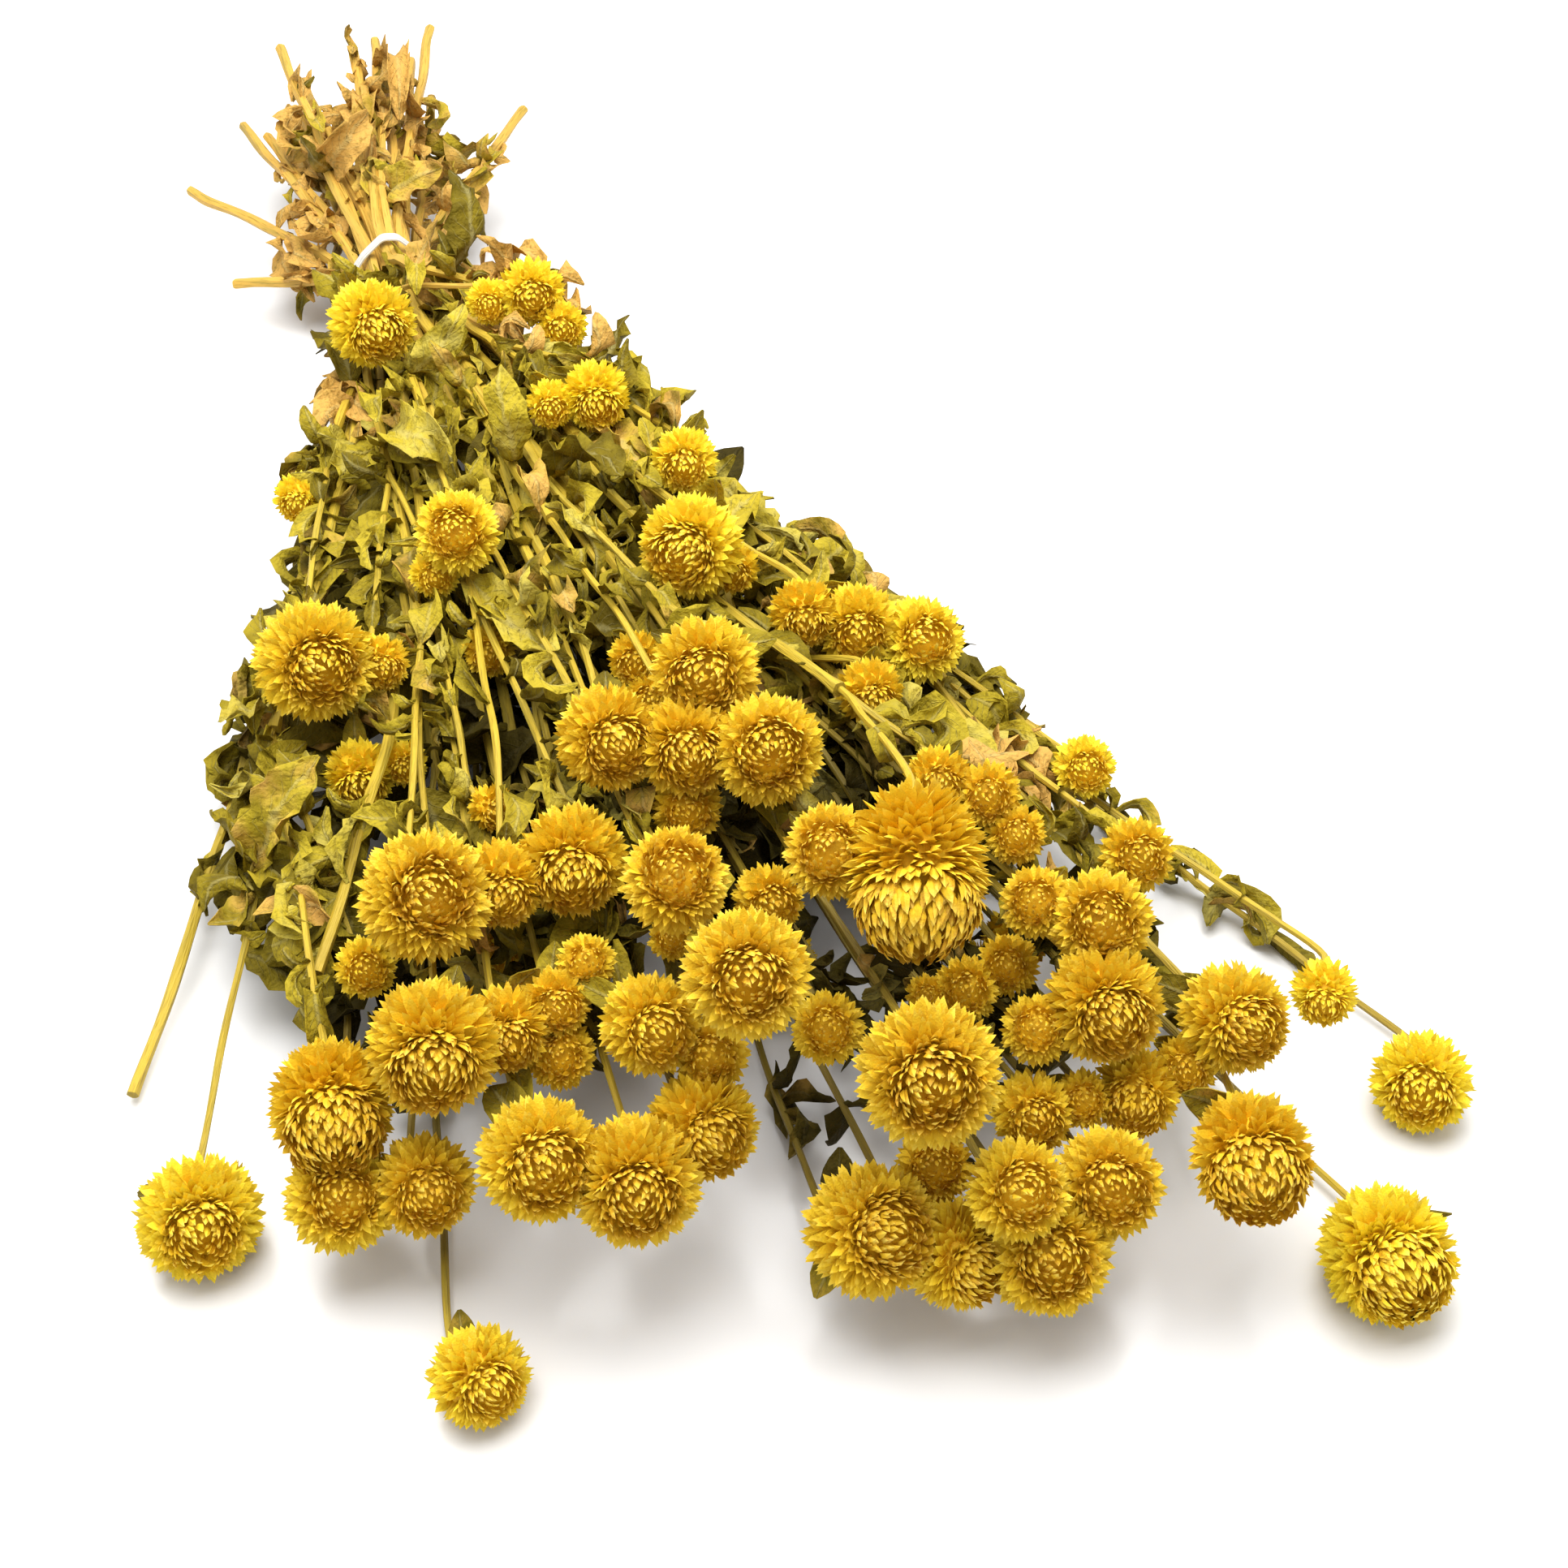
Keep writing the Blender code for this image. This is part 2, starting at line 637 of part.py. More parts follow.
def relax_stems(points, free, runs, heads):
    """Push stems of different sprays apart and out of the heads, and keep their courses smooth."""
    rows, kinds = segments(runs)
    a, b, radius, spray, kind = (np.array(column) for column in zip(*rows))
    balls, sizes, owner = [], [], []
    for name, head in heads.items():
        shift = max(0.0, (head["length"] - head["width"]) / 2.0)
        for along in sorted({shift, -shift}):
            balls.append(head["centre"] + head["axis"] * along)
            sizes.append(head["width"] / 2.0)
            owner.append(kinds.get(name, -1))
    balls, sizes, owner = np.array(balls), np.array(sizes), np.array(owner)
    first, second = np.triu_indices(len(a), 1)
    tied = (free[a] == 0) | (free[b] == 0)
    shared = (a[first] == a[second]) | (a[first] == b[second])
    shared |= (b[first] == a[second]) | (b[first] == b[second])
    joined = (spray[first] == spray[second]) & (shared | (tied[first] & tied[second]))
    first, second = first[~joined], second[~joined]
    seg = np.repeat(np.arange(len(a)), len(balls))
    ball = np.tile(np.arange(len(balls)), len(a))
    near_own = (owner[ball] == kind[seg]) & tied[seg]
    seg, ball = seg[~near_own], ball[~near_own]
    home = points.copy()
    for step in range(STEM_STEPS):
        if step % 8 == 0:
            middle = (points[a] + points[b]) / 2.0
            half = np.linalg.norm(points[b] - points[a], axis=1) / 2.0
            apart = np.linalg.norm(middle[first] - middle[second], axis=1)
            near = apart < half[first] + half[second] + NEARBY
            f, g = first[near], second[near]
            apart = np.linalg.norm(middle[seg] - balls[ball], axis=1)
            near = apart < half[seg] + sizes[ball] + NEARBY
            h, k = seg[near], ball[near]
        push = np.zeros_like(points)
        u, v = points[b[f]] - points[a[f]], points[b[g]] - points[a[g]]
        s, t, gap = closest(points[a[f]], u, points[a[g]], v)
        far = np.linalg.norm(gap, axis=1)
        over = radius[f] + radius[g] + CLEARANCE - far
        hit = over > 0
        move = gap[hit] / np.maximum(far[hit], 1e-6)[:, None] * over[hit, None] * 0.4
        for index, share, sign in ((a[f], 1 - s, 1), (b[f], s, 1), (a[g], 1 - t, -1), (b[g], t, -1)):
            np.add.at(push, index[hit], sign * move * share[hit, None])
        p, u = points[a[h]], points[b[h]] - points[a[h]]
        t = np.clip(((balls[k] - p) * u).sum(1) / np.maximum((u * u).sum(1), 1e-9), 0.0, 1.0)
        gap = p + t[:, None] * u - balls[k]
        far = np.linalg.norm(gap, axis=1)
        over = radius[h] + sizes[k] + CLEARANCE - far
        hit = over > 0
        move = gap[hit] / np.maximum(far[hit], 1e-6)[:, None] * over[hit, None] * 0.5
        np.add.at(push, a[h][hit], move * (1 - t[hit, None]))
        np.add.at(push, b[h][hit], move * t[hit, None])
        if step < STEM_STEPS - STEM_FREE_STEPS:
            for number, name, index in runs:
                line = points[index]
                push[index[1:-1]] += 0.12 * ((line[:-2] + line[2:]) / 2.0 - line[1:-1])
            push += 0.01 * (home - points)
        size = np.linalg.norm(push, axis=1)
        push *= np.minimum(1.0, STRIDE / np.maximum(size, 1e-9))[:, None]
        points = points + push * free[:, None]
        points[:, 2] = np.maximum(points[:, 2], np.where(free > 0, MAIN_RADIUS + 0.1, points[:, 2]))
    return points


def across_frames(line):
    """For every point of a line: its direction and two directions square to it, turned smoothly."""
    line = np.asarray(line, float)
    ahead = np.gradient(line, axis=0)
    ahead /= np.maximum(np.linalg.norm(ahead, axis=1), 1e-9)[:, None]
    start = np.array((0.0, 0.0, 1.0)) if abs(ahead[0][2]) < 0.9 else np.array((1.0, 0.0, 0.0))
    frames = []
    side = np.cross(ahead[0], start)
    for direction in ahead:
        side = unit(side - direction * (side @ direction))
        frames.append((direction, side, np.cross(direction, side)))
    return frames


def tube(line, radii, sides):
    """A closed tube along a line, as corners and faces."""
    corners, faces = [], []
    for point, radius, (ahead, side, top) in zip(line, radii, across_frames(line)):
        for k in range(sides):
            angle = math.tau * k / sides
            corners.append(point + radius * (math.cos(angle) * side + math.sin(angle) * top))
    for i in range(len(line) - 1):
        for k in range(sides):
            a, b = i * sides + k, i * sides + (k + 1) % sides
            faces.append((a, b, b + sides, a + sides))
    last = (len(line) - 1) * sides
    faces.append(tuple(reversed(range(sides))))
    faces.append(tuple(range(last, last + sides)))
    return corners, faces


def spiky_head(head, around, rows, spin):
    """A flower head: a staggered net round a small core, every cell of it drawn out to a bract tip."""
    axis = head["axis"]
    helper = np.array((0.0, 0.0, 1.0)) if abs(axis[2]) < 0.9 else np.array((1.0, 0.0, 0.0))
    side = unit(np.cross(axis, helper))
    top = np.cross(axis, side)
    half_width, half_length = head["width"] / 2.0, head["length"] / 2.0
    first = math.acos(SEAT_DEPTH / CORE)
    step = (LAST_ROW - first) / (rows - 1)

    def on(share, polar, angle):
        out = share * half_width * math.sin(polar)
        along = -share * half_length * math.cos(polar)
        return head["centre"] + out * (math.cos(angle) * side + math.sin(angle) * top) + along * axis

    corners, faces = [], []
    for j in range(rows):
        for k in range(around):
            corners.append(on(CORE, first + j * step, spin + math.tau * (k + 0.5 * (j % 2)) / around))

    def net(j, k):
        return j * around + k % around

    for j in range(1, rows - 1):
        for k in range(around):
            odd = j % 2
            tip = len(corners)
            angle = spin + math.tau * (k + 0.5 + 0.5 * odd) / around
            corners.append(on(1.0, first + (j + TIP_LEAN) * step, angle))
            left, right = net(j, k), net(j, k + 1)
            low, high = net(j - 1, k + odd), net(j + 1, k + odd)
            faces += [(low, right, tip), (right, high, tip), (high, left, tip), (left, low, tip)]
    end = len(corners)
    corners.append(on(BLUNT_END, math.pi, 0.0))
    faces.append(tuple(net(0, k) for k in reversed(range(around))))
    odd = (rows - 1) % 2
    for k in range(around):
        faces.append((net(0, k), net(0, k + 1), net(1, k)))
        faces.append((net(rows - 1, k + 1), net(rows - 1, k), net(rows - 2, k + odd)))
        faces.append((net(rows - 1, k), net(rows - 1, k + 1), end))
    return corners, faces


def blade(leaf, room=0.0):
    """A curled, folded and waved leaf blade, as corners and faces split alike on both sides.

    With room, it is that much larger all round, to see whether it stands clear of other things.
    """
    stations = 4 if leaf["length"] > LONG_LEAF else 3
    ahead, side, top = leaf["frame"]
    point = leaf["root"].copy()
    length = leaf["length"]
    step = length / stations
    corners, faces = [point.copy()], []
    bend = leaf["curl"] / stations
    for i in range(1, stations + 1):
        point = point + ahead * step
        turned = math.cos(bend) * ahead + math.sin(bend) * top
        top = math.cos(bend) * top - math.sin(bend) * ahead
        ahead = turned
        roll = leaf["twist"] / stations
        rolled = math.cos(roll) * side + math.sin(roll) * top
        top = math.cos(roll) * top - math.sin(roll) * side
        side = rolled
        if i == stations:
            break
        share = i / stations
        half = leaf["width"] / 2.0 * math.sin(math.pi * min(1.0, share * 0.9 + 0.08)) + room
        thick = LEAF_THICKNESS / 2.0 + room
        wave = leaf["wave"] * (1 if i % 2 else -1)
        fold = leaf["fold"] * half
        corners.append(point - side * half + top * (fold + wave))
        corners.append(point + top * thick)
        corners.append(point + side * half + top * (fold - wave))
        corners.append(point - top * thick)
    corners.append(point.copy())
    for k in range(4):
        faces.append((0, 1 + (k + 1) % 4, 1 + k))
    for i in range(stations - 2):
        base = 1 + 4 * i
        for k, (a, b) in enumerate(((0, 1), (1, 2), (2, 3), (3, 0))):
            p, q, r, s = base + a, base + b, base + b + 4, base + a + 4
            if k in (0, 2):
                faces += [(p, q, r), (p, r, s)]
            else:
                faces += [(p, q, s), (q, r, s)]
    base = 1 + 4 * (stations - 2)
    tip = len(corners) - 1
    for k in range(4):
        faces.append((base + k, base + (k + 1) % 4, tip))
    return corners, faces


def large_leaves(points, runs):
    """The leaves that the picture places: for each its spray and several ways to curl."""
    chance = random.Random(8)
    for number, spray in enumerate(SPRAYS):
        lines = [points[index] for n, kind, index in runs if n == number and kind in RADII]
        starts = np.vstack([line[:-1] for line in lines])
        steps = np.vstack([line[1:] - line[:-1] for line in lines])
        for root, tip, width in LARGE_LEAVES.get(spray, []):
            near, tip = place(*root), place(*tip)
            share = np.clip(((near - starts) * steps).sum(1) / (steps * steps).sum(1), 0.05, 0.95)
            spots = starts + share[:, None] * steps
            root = spots[np.argmin(np.linalg.norm(spots - near, axis=1))]
            size = min(np.linalg.norm(tip - root), LONGEST_REACH * np.linalg.norm(tip - near))
            towards = unit(tip - root)
            tries = []
            for turn in range(LEAF_TRIES):
                curl = chance.choice((-1.0, 1.0)) * chance.uniform(0.4, 2.4)
                lean = chance.gauss(0.0, 0.1 + 0.012 * turn)
                above = unit(np.array((chance.gauss(0.0, 0.5), -0.3, 1.0)))
                ahead = unit(towards + above * lean)
                side = unit(np.cross(ahead, above))
                top = np.cross(side, ahead)
                start = math.cos(curl / 2.0) * ahead - math.sin(curl / 2.0) * top
                tries.append({
                    "root": root,
                    "frame": (start, side, np.cross(side, start)),
                    "length": size * (curl / 2.0) / math.sin(curl / 2.0),
                    "width": width,
                    "curl": curl,
                    "twist": chance.uniform(-1.0, 1.0),
                    "wave": chance.uniform(0.6, 2.0),
                    "fold": chance.uniform(0.1, 0.6),
                })
            yield number, tries


def small_leaves(points, runs):
    """More leaves along the stems, round after round, by seeded draws."""
    chance = random.Random(5)
    stems = [(number, index) for number, kind, index in runs if kind in RADII]
    for turn in range(LEAF_ROUNDS):
        for number, index in stems:
            line = points[index]
            at = chance.uniform(0.02, 0.98) * (len(line) - 1)
            low = int(at)
            root = line[low] + (line[low + 1] - line[low]) * (at - low)
            stem = unit(line[low + 1] - line[low])
            outward = root - np.array((root[0] * 0.4, root[1], NECK_HEIGHT))
            outward = unit(outward - stem * (outward @ stem) + np.array((0.0, 0.0, 0.01)))
            turned = chance.gauss(0.0, 0.9)
            outward = math.cos(turned) * outward + math.sin(turned) * np.cross(stem, outward)
            opening = math.radians(chance.uniform(15.0, 65.0))
            ahead = math.cos(opening) * stem + math.sin(opening) * outward
            side = unit(np.cross(ahead, outward))
            length = chance.uniform(*LEAF_LENGTHS)
            leaf = {
                "root": root,
                "frame": (ahead, side, np.cross(side, ahead)),
                "length": length,
                "width": length * chance.uniform(*LEAF_WIDTHS),
                "curl": chance.choice((-1.0, -1.0, 1.0)) * chance.uniform(0.8, 3.2),
                "twist": chance.uniform(-1.4, 1.4),
                "wave": chance.uniform(0.6, 2.2),
                "fold": chance.uniform(0.1, 0.7),
            }
            yield number, [leaf]


def in_picture(point):
    """The picture x and y of a real point."""
    ray = point - EYE
    scale = LENS / (ray @ FORWARD)
    return MIDDLE + (ray @ RIGHT) * scale, MIDDLE - (ray @ UP) * scale


def inside_the_bunch(corners):
    """Whether a blade stays between the sides that the bunch shows, and off the table."""
    rows, left, right = zip(*LEAFY_SIDES)
    for corner in corners:
        x, y = in_picture(corner)
        if not LEAF_BOTTOM < corner[2] < LEAF_TOP or not rows[0] < y:
            return False
        if not np.interp(y, rows, left) < x < np.interp(y, rows, right):
            return False
    return True


def hides_a_head(corners, heads):
    """Whether a blade stands before a head, seen from where the reference picture was taken."""
    seen = np.array([head["centre"] for name, head in heads.items() if name in HEADS])
    wide = np.array([head["width"] / 2.0 for name, head in heads.items() if name in HEADS])
    sight = seen - EYE
    reach = np.linalg.norm(sight, axis=1)
    sight /= reach[:, None]
    for corner in corners[1:]:
        along = (corner - EYE) @ sight.T
        off = np.linalg.norm(corner - EYE - along[:, None] * sight, axis=1)
        if ((off < 0.9 * wide) & (along < reach)).any():
            return True
    return False


def tree(shape):
    """A search tree of a shape's faces."""
    corners, faces = shape
    return BVHTree.FromPolygons([Vector(c) for c in corners], faces, epsilon=0.0)


def grow_leaves(points, runs, heads, solid_trees, spray_trees):
    """Keep the leaves that clear everything but the spray that they grow from."""
    kept = []
    for number, tries in itertools.chain(large_leaves(points, runs), small_leaves(points, runs)):
        if len(kept) == LEAF_COUNT:
            break
        for leaf in tries:
            corners, faces = blade(leaf)
            if not inside_the_bunch(corners) or hides_a_head(corners, heads):
                continue
            fat = tree(blade(leaf, LEAF_CLEARANCE))
            if any(fat.overlap(other) for other in solid_trees):
                continue
            if any(fat.overlap(other) for spray, other in spray_trees if spray != number):
                continue
            if any(fat.overlap(other) for spray, other, placed in kept):
                continue
            kept.append((number, tree((corners, faces)), leaf))
            break
    return [(number, leaf) for number, placed, leaf in kept]


def band_shape(disc):
    """The elastic band: a flat ring stretched round the packed stalks."""
    count = BAND_CORNERS
    inner = MAIN_RADIUS + CLEARANCE
    angles = [math.tau * k / count for k in range(count)]
    support = [max(disc @ np.array((math.cos(a), math.sin(a)))) + inner for a in angles]
    corners = []
    for half in (-BAND_WIDTH / 2.0, BAND_WIDTH / 2.0):
        for thick in (0.0, BAND_THICKNESS):
            for k in range(count):
                a, b = angles[k], angles[(k + 1) % count]
                p, q = support[k] + thick, support[(k + 1) % count] + thick
                turn = math.sin(b - a)
                x = (p * math.sin(b) - q * math.sin(a)) / turn
                z = (q * math.cos(a) - p * math.cos(b)) / turn
                corners.append(np.array((x, half, NECK_HEIGHT + z)))
    faces = []
    for k in range(count):
        n = (k + 1) % count
        front_in, front_out, back_in, back_out = k, count + k, 2 * count + k, 3 * count + k
        nf_in, nf_out, nb_in, nb_out = n, count + n, 2 * count + n, 3 * count + n
        faces += [
            (front_in, nf_in, nf_out, front_out),
            (back_in, back_out, nb_out, nb_in),
            (front_out, nf_out, nb_out, back_out),
            (front_in, back_in, nb_in, nf_in),
        ]
    return corners, faces


def closed_mesh(shape, shift):
    """A bmesh of a shape in metres, moved by the shift, its faces pointing out."""
    corners, faces = shape
    bm = bmesh.new()
    made = [bm.verts.new(Vector((c + shift) * MM)) for c in corners]
    for face in faces:
        bm.faces.new([made[i] for i in face])
    bmesh.ops.recalc_face_normals(bm, faces=bm.faces)
    return bm


def new_object(name, bm):
    """An object of the scene that holds a bmesh."""
    mesh = bpy.data.meshes.new(name)
    bm.to_mesh(mesh)
    bm.free()
    thing = bpy.data.objects.new(name, mesh)
    bpy.context.scene.collection.objects.link(thing)
    return thing


def keep_biggest_body(bm):
    """Drop loose scraps and sealed hollows: only the body with the most corners stays."""
    bm.verts.ensure_lookup_table()
    left = set(bm.verts)
    bodies = []
    while left:
        body = {left.pop()}
        edge = list(body)
        while edge:
            for line in edge.pop().link_edges:
                for vert in line.verts:
                    if vert in left:
                        left.discard(vert)
                        body.add(vert)
                        edge.append(vert)
        bodies.append(body)
    bodies.sort(key=len, reverse=True)
    for body in bodies[1:]:
        for vert in body:
            bm.verts.remove(vert)


def is_closed(bm):
    """Whether every edge joins exactly two faces."""
    return len(bm.faces) > 0 and all(len(edge.link_faces) == 2 for edge in bm.edges)


def fuse(name, shapes, shift):
    """One closed body from shapes that grow into each other.

    The exact solver comes first, with its tiny edges welded and its flats joined. Where that
    leaves an open mesh or loses a piece, the plain result and then the other solver are taken.
    """
    meshes = [closed_mesh(shape, shift) for shape in shapes]
    before = sum(bm.calc_volume() for bm in meshes)
    first, *others = [new_object("%s_piece" % name, bm) for bm in meshes]
    group = bpy.data.collections.new(name)
    for other in others:
        bpy.context.scene.collection.objects.unlink(other)
        group.objects.link(other)
    bpy.context.scene.collection.children.link(group)
    for solver, weld in (("EXACT", WELD), ("EXACT", 0.0), ("MANIFOLD", WELD), ("MANIFOLD", 0.0)):
        first.modifiers.clear()
        if others:
            union = first.modifiers.new("union", "BOOLEAN")
            union.operation = "UNION"
            union.operand_type = "COLLECTION"
            union.collection = group
            union.solver = solver
        bpy.context.view_layer.update()
        seen = first.evaluated_get(bpy.context.evaluated_depsgraph_get())
        bm = bmesh.new()
        bm.from_mesh(seen.to_mesh())
        seen.to_mesh_clear()
        if weld:
            bmesh.ops.remove_doubles(bm, verts=bm.verts, dist=weld * MM)
            bmesh.ops.dissolve_degenerate(bm, edges=bm.edges, dist=weld * MM)
            bmesh.ops.dissolve_limit(bm, angle_limit=FLAT_ANGLE, verts=bm.verts, edges=bm.edges)
        bmesh.ops.triangulate(bm, faces=bm.faces)
        keep_biggest_body(bm)
        if is_closed(bm) and bm.calc_volume() > LEAST_VOLUME * before:
            break
        bm.clear()
    for other in [first] + others:
        bpy.data.objects.remove(other, do_unlink=True)
    bpy.data.collections.remove(group)
    return bm


def press_flat(bm):
    """Cut off what would reach below the table, and close the cut with a flat face."""
    if min(vert.co.z for vert in bm.verts) >= 0.0:
        return
    everything = list(bm.verts) + list(bm.edges) + list(bm.faces)
    cut = bmesh.ops.bisect_plane(
        bm, geom=everything, dist=1e-7, plane_co=(0, 0, 0), plane_no=(0, 0, -1), clear_outer=True
    )
    rim = [item for item in cut["geom_cut"] if isinstance(item, bmesh.types.BMEdge)]
    bmesh.ops.edgeloop_fill(bm, edges=rim)
    for vert in bm.verts:
        if abs(vert.co.z) < 1e-6:
            vert.co.z = 0.0
    bmesh.ops.recalc_face_normals(bm, faces=bm.faces)


def material(name, color, roughness, metallic=0.0):
    """A Principled material of one plain colour."""
    made = bpy.data.materials.new(name)
    made.use_nodes = True
    shader = made.node_tree.nodes["Principled BSDF"]
    shader.inputs["Base Color"].default_value = (*color, 1.0)
    shader.inputs["Roughness"].default_value = roughness
    shader.inputs["Metallic"].default_value = metallic
    made.diffuse_color = (*color, 1.0)
    return made


def finish(name, bm, made):
    """Put a finished mesh into the scene with its material, its sharp bract edges kept."""
    thing = new_object(name, bm)
    thing.data.materials.append(made)
    thing.data.shade_smooth()
    thing.data.set_sharp_from_angle(angle=math.radians(30.0))
    return thing


def head_detail(width):
    """How many bracts stand round a head of this width, and in how many rows."""
    if width > BIG_HEAD:
        return 6, 6
    return 5, 5 if width > MIDDLE_HEAD else 4


def build():
    """Model the whole bunch."""
    for thing in list(bpy.data.objects):
        bpy.data.objects.remove(thing, do_unlink=True)

    heads = read_heads()
    cluster, pairs = cluster_heads(heads)
    settle_heads(heads, cluster, pairs)
    points, free, runs, disc = lay_stems(heads)
    points = relax_stems(points, free, runs, heads)

    chance = random.Random(3)
    groups = {}
    for name, head in heads.items():
        around, rows = head_detail(head["width"])
        shape = spiky_head(head, around, rows, chance.uniform(0.0, math.tau))
        groups.setdefault(cluster[name], []).append(shape)

    sprays = {number: [] for number in range(len(SPRAYS))}
    for number, kind, index in runs:
        line = points[index]
        radius = RADII.get(kind, BRANCH_RADIUS)
        radii = [radius] * len(line)
        if kind in RADII:
            line = np.vstack((line, line[-1] + unit(line[-1] - line[-2]) * NODE_LENGTH))
            radii = radii[:-1] + [radius * NODE_SWELL] * 2
        sprays[number].append(tube(line, radii, STEM_SIDES if kind in RADII else TWIG_SIDES))

    band = band_shape(disc)
    solid_trees = [tree(shape) for group in groups.values() for shape in group] + [tree(band)]
    spray_trees = [(number, tree(shape)) for number, shapes in sprays.items() for shape in shapes]
    leaves = grow_leaves(points, runs, heads, solid_trees, spray_trees)
    for number, leaf in leaves:
        sprays[number].append(blade(leaf))

    everything = [shape for shapes in [*groups.values(), *sprays.values()] for shape in shapes]
    corners = np.vstack([shape[0] for shape in everything])
    shift = -(corners.min(axis=0) + corners.max(axis=0)) / 2.0
    shift[2] = 0.0

    yellow = material("bracts", (0.80, 0.47, 0.03), 0.6)
    olive = material("dried_green", (0.28, 0.25, 0.08), 0.8)
    white = material("elastic", (0.88, 0.87, 0.84), 0.6)
    finish("elastic_band", closed_mesh(band, shift), white)
    for number, name in enumerate(SPRAYS):
        bm = fuse("stems_" + name, sprays[number], shift)
        finish("stems_" + name, bm, olive)
    for number, shapes in groups.items():
        name = "heads_%02d" % (number + 1)
        bm = fuse(name, shapes, shift)
        press_flat(bm)
        finish(name, bm, yellow)


build()
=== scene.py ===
# %% [markdown]
# # A dried bunch of golden globe amaranth
#
# The real thing is a tied bunch lying on a white table: some ninety spiky, papery flower heads,
# thin ribbed stalks that fork, a mass of dry curled leaves, and a thin white elastic band.
# The packed model gives the frame: its solids say where every piece is and how large. This lesson
# dresses them with fine meshes, and the first cell loads them. The box around the solids is kept,
# because nothing made here may stand out of it.

# %% Load the frame
import itertools
import math
import random

import bpy
import numpy as np
from mathutils import Matrix, Vector
from mathutils.kdtree import KDTree


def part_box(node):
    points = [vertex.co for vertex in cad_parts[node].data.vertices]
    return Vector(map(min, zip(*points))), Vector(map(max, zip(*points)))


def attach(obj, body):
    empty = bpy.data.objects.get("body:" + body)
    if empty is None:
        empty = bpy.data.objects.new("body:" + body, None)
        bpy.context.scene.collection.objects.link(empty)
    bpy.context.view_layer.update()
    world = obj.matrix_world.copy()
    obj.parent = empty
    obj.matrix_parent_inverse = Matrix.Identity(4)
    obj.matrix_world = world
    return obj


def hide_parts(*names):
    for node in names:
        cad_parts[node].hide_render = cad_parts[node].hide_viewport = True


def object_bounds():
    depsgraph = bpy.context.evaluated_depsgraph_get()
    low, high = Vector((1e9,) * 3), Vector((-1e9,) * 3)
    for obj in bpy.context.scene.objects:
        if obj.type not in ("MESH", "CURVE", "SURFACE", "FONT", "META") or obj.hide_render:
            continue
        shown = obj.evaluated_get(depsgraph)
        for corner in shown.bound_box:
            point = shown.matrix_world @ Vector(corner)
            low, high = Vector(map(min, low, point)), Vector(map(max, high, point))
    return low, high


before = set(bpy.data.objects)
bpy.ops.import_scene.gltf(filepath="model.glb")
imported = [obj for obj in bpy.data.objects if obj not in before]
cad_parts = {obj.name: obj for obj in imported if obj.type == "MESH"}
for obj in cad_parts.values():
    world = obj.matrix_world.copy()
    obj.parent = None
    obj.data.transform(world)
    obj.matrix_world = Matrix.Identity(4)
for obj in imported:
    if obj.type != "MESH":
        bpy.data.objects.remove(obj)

CAD_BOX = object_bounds()
MM = 0.001
print(len(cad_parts), "nodes, box in mm:", [round(side / MM, 1) for side in CAD_BOX[1] - CAD_BOX[0]])

# %% [markdown]
# ## Shader maths as plain expressions
#
# A material could be wired by hand, one Math node after another, but that is hard to read. A small
# class can hold a socket and overload the operators instead, so that `1 - along * 0.4` adds its
# two nodes by itself, also where the plain number comes first. Every other node comes from one
# method: its type, its settings, its inputs.

# %% A socket that can be used in arithmetic
class Wire:
    """The output of a node, which can be added, subtracted and multiplied."""

    def __init__(self, graph, socket):
        self.graph = graph
        self.socket = socket

    def math(self, operation, other, swapped=False):
        pair = {0: other, 1: self} if swapped else {0: self, 1: other}
        return self.graph.node("Math", {"operation": operation}, pair)

    def __add__(self, other):
        return self.math("ADD", other)

    def __radd__(self, other):
        return self.math("ADD", other, swapped=True)

    def __sub__(self, other):
        return self.math("SUBTRACT", other)

    def __rsub__(self, other):
        return self.math("SUBTRACT", other, swapped=True)

    def __mul__(self, other):
        return self.math("MULTIPLY", other)

    def __rmul__(self, other):
        return self.math("MULTIPLY", other, swapped=True)


print("operators ready:", [name for name in vars(Wire) if name.endswith(("add__", "sub__", "mul__"))])

# %% A material and its nodes
class Graph:
    """A new material, its shader, and the one method that adds a node to it."""

    def __init__(self, name, **uniform):
        self.material = bpy.data.materials.new(name)
        self.material.use_nodes = True
        self.tree = self.material.node_tree
        self.shader = self.tree.nodes["Principled BSDF"]
        for socket, value in uniform.items():
            self.shader.inputs[socket.replace("_", " ")].default_value = value

    def node(self, kind, settings, inputs, output=0):
        made = self.tree.nodes.new("ShaderNode" + kind)
        for name, value in settings.items():
            if name == "stops":
                self.set_stops(made.color_ramp, value)
            else:
                setattr(made, name, value)
        for name, value in inputs.items():
            if isinstance(value, Wire):
                self.tree.links.new(value.socket, made.inputs[name])
            else:
                made.inputs[name].default_value = value
        return Wire(self, made.outputs[output])

    def set_stops(self, ramp, stops):
        while len(ramp.elements) < len(stops):
            ramp.elements.new(1.0)
        for element, (place, color) in zip(ramp.elements, stops):
            element.position = place
            element.color = (*color, 1.0)

    def feed(self, socket, wire):
        self.tree.links.new(wire.socket, self.shader.inputs[socket])


print("a graph can:", ", ".join(name for name in vars(Graph) if not name.startswith("_")))

# %% [markdown]
# Five things come up again and again: a number or a direction stored on the mesh, a mix of two
# colours, a step from 0 to 1 between two limits, a noise, and a relief. Each gets a short name.

# %% Short names for common nodes
def stored(graph, name, output="Fac"):
    """What the mesh stores under a name: a number, or with "Vector" a direction."""
    return graph.node("Attribute", {"attribute_name": name}, {}, output)


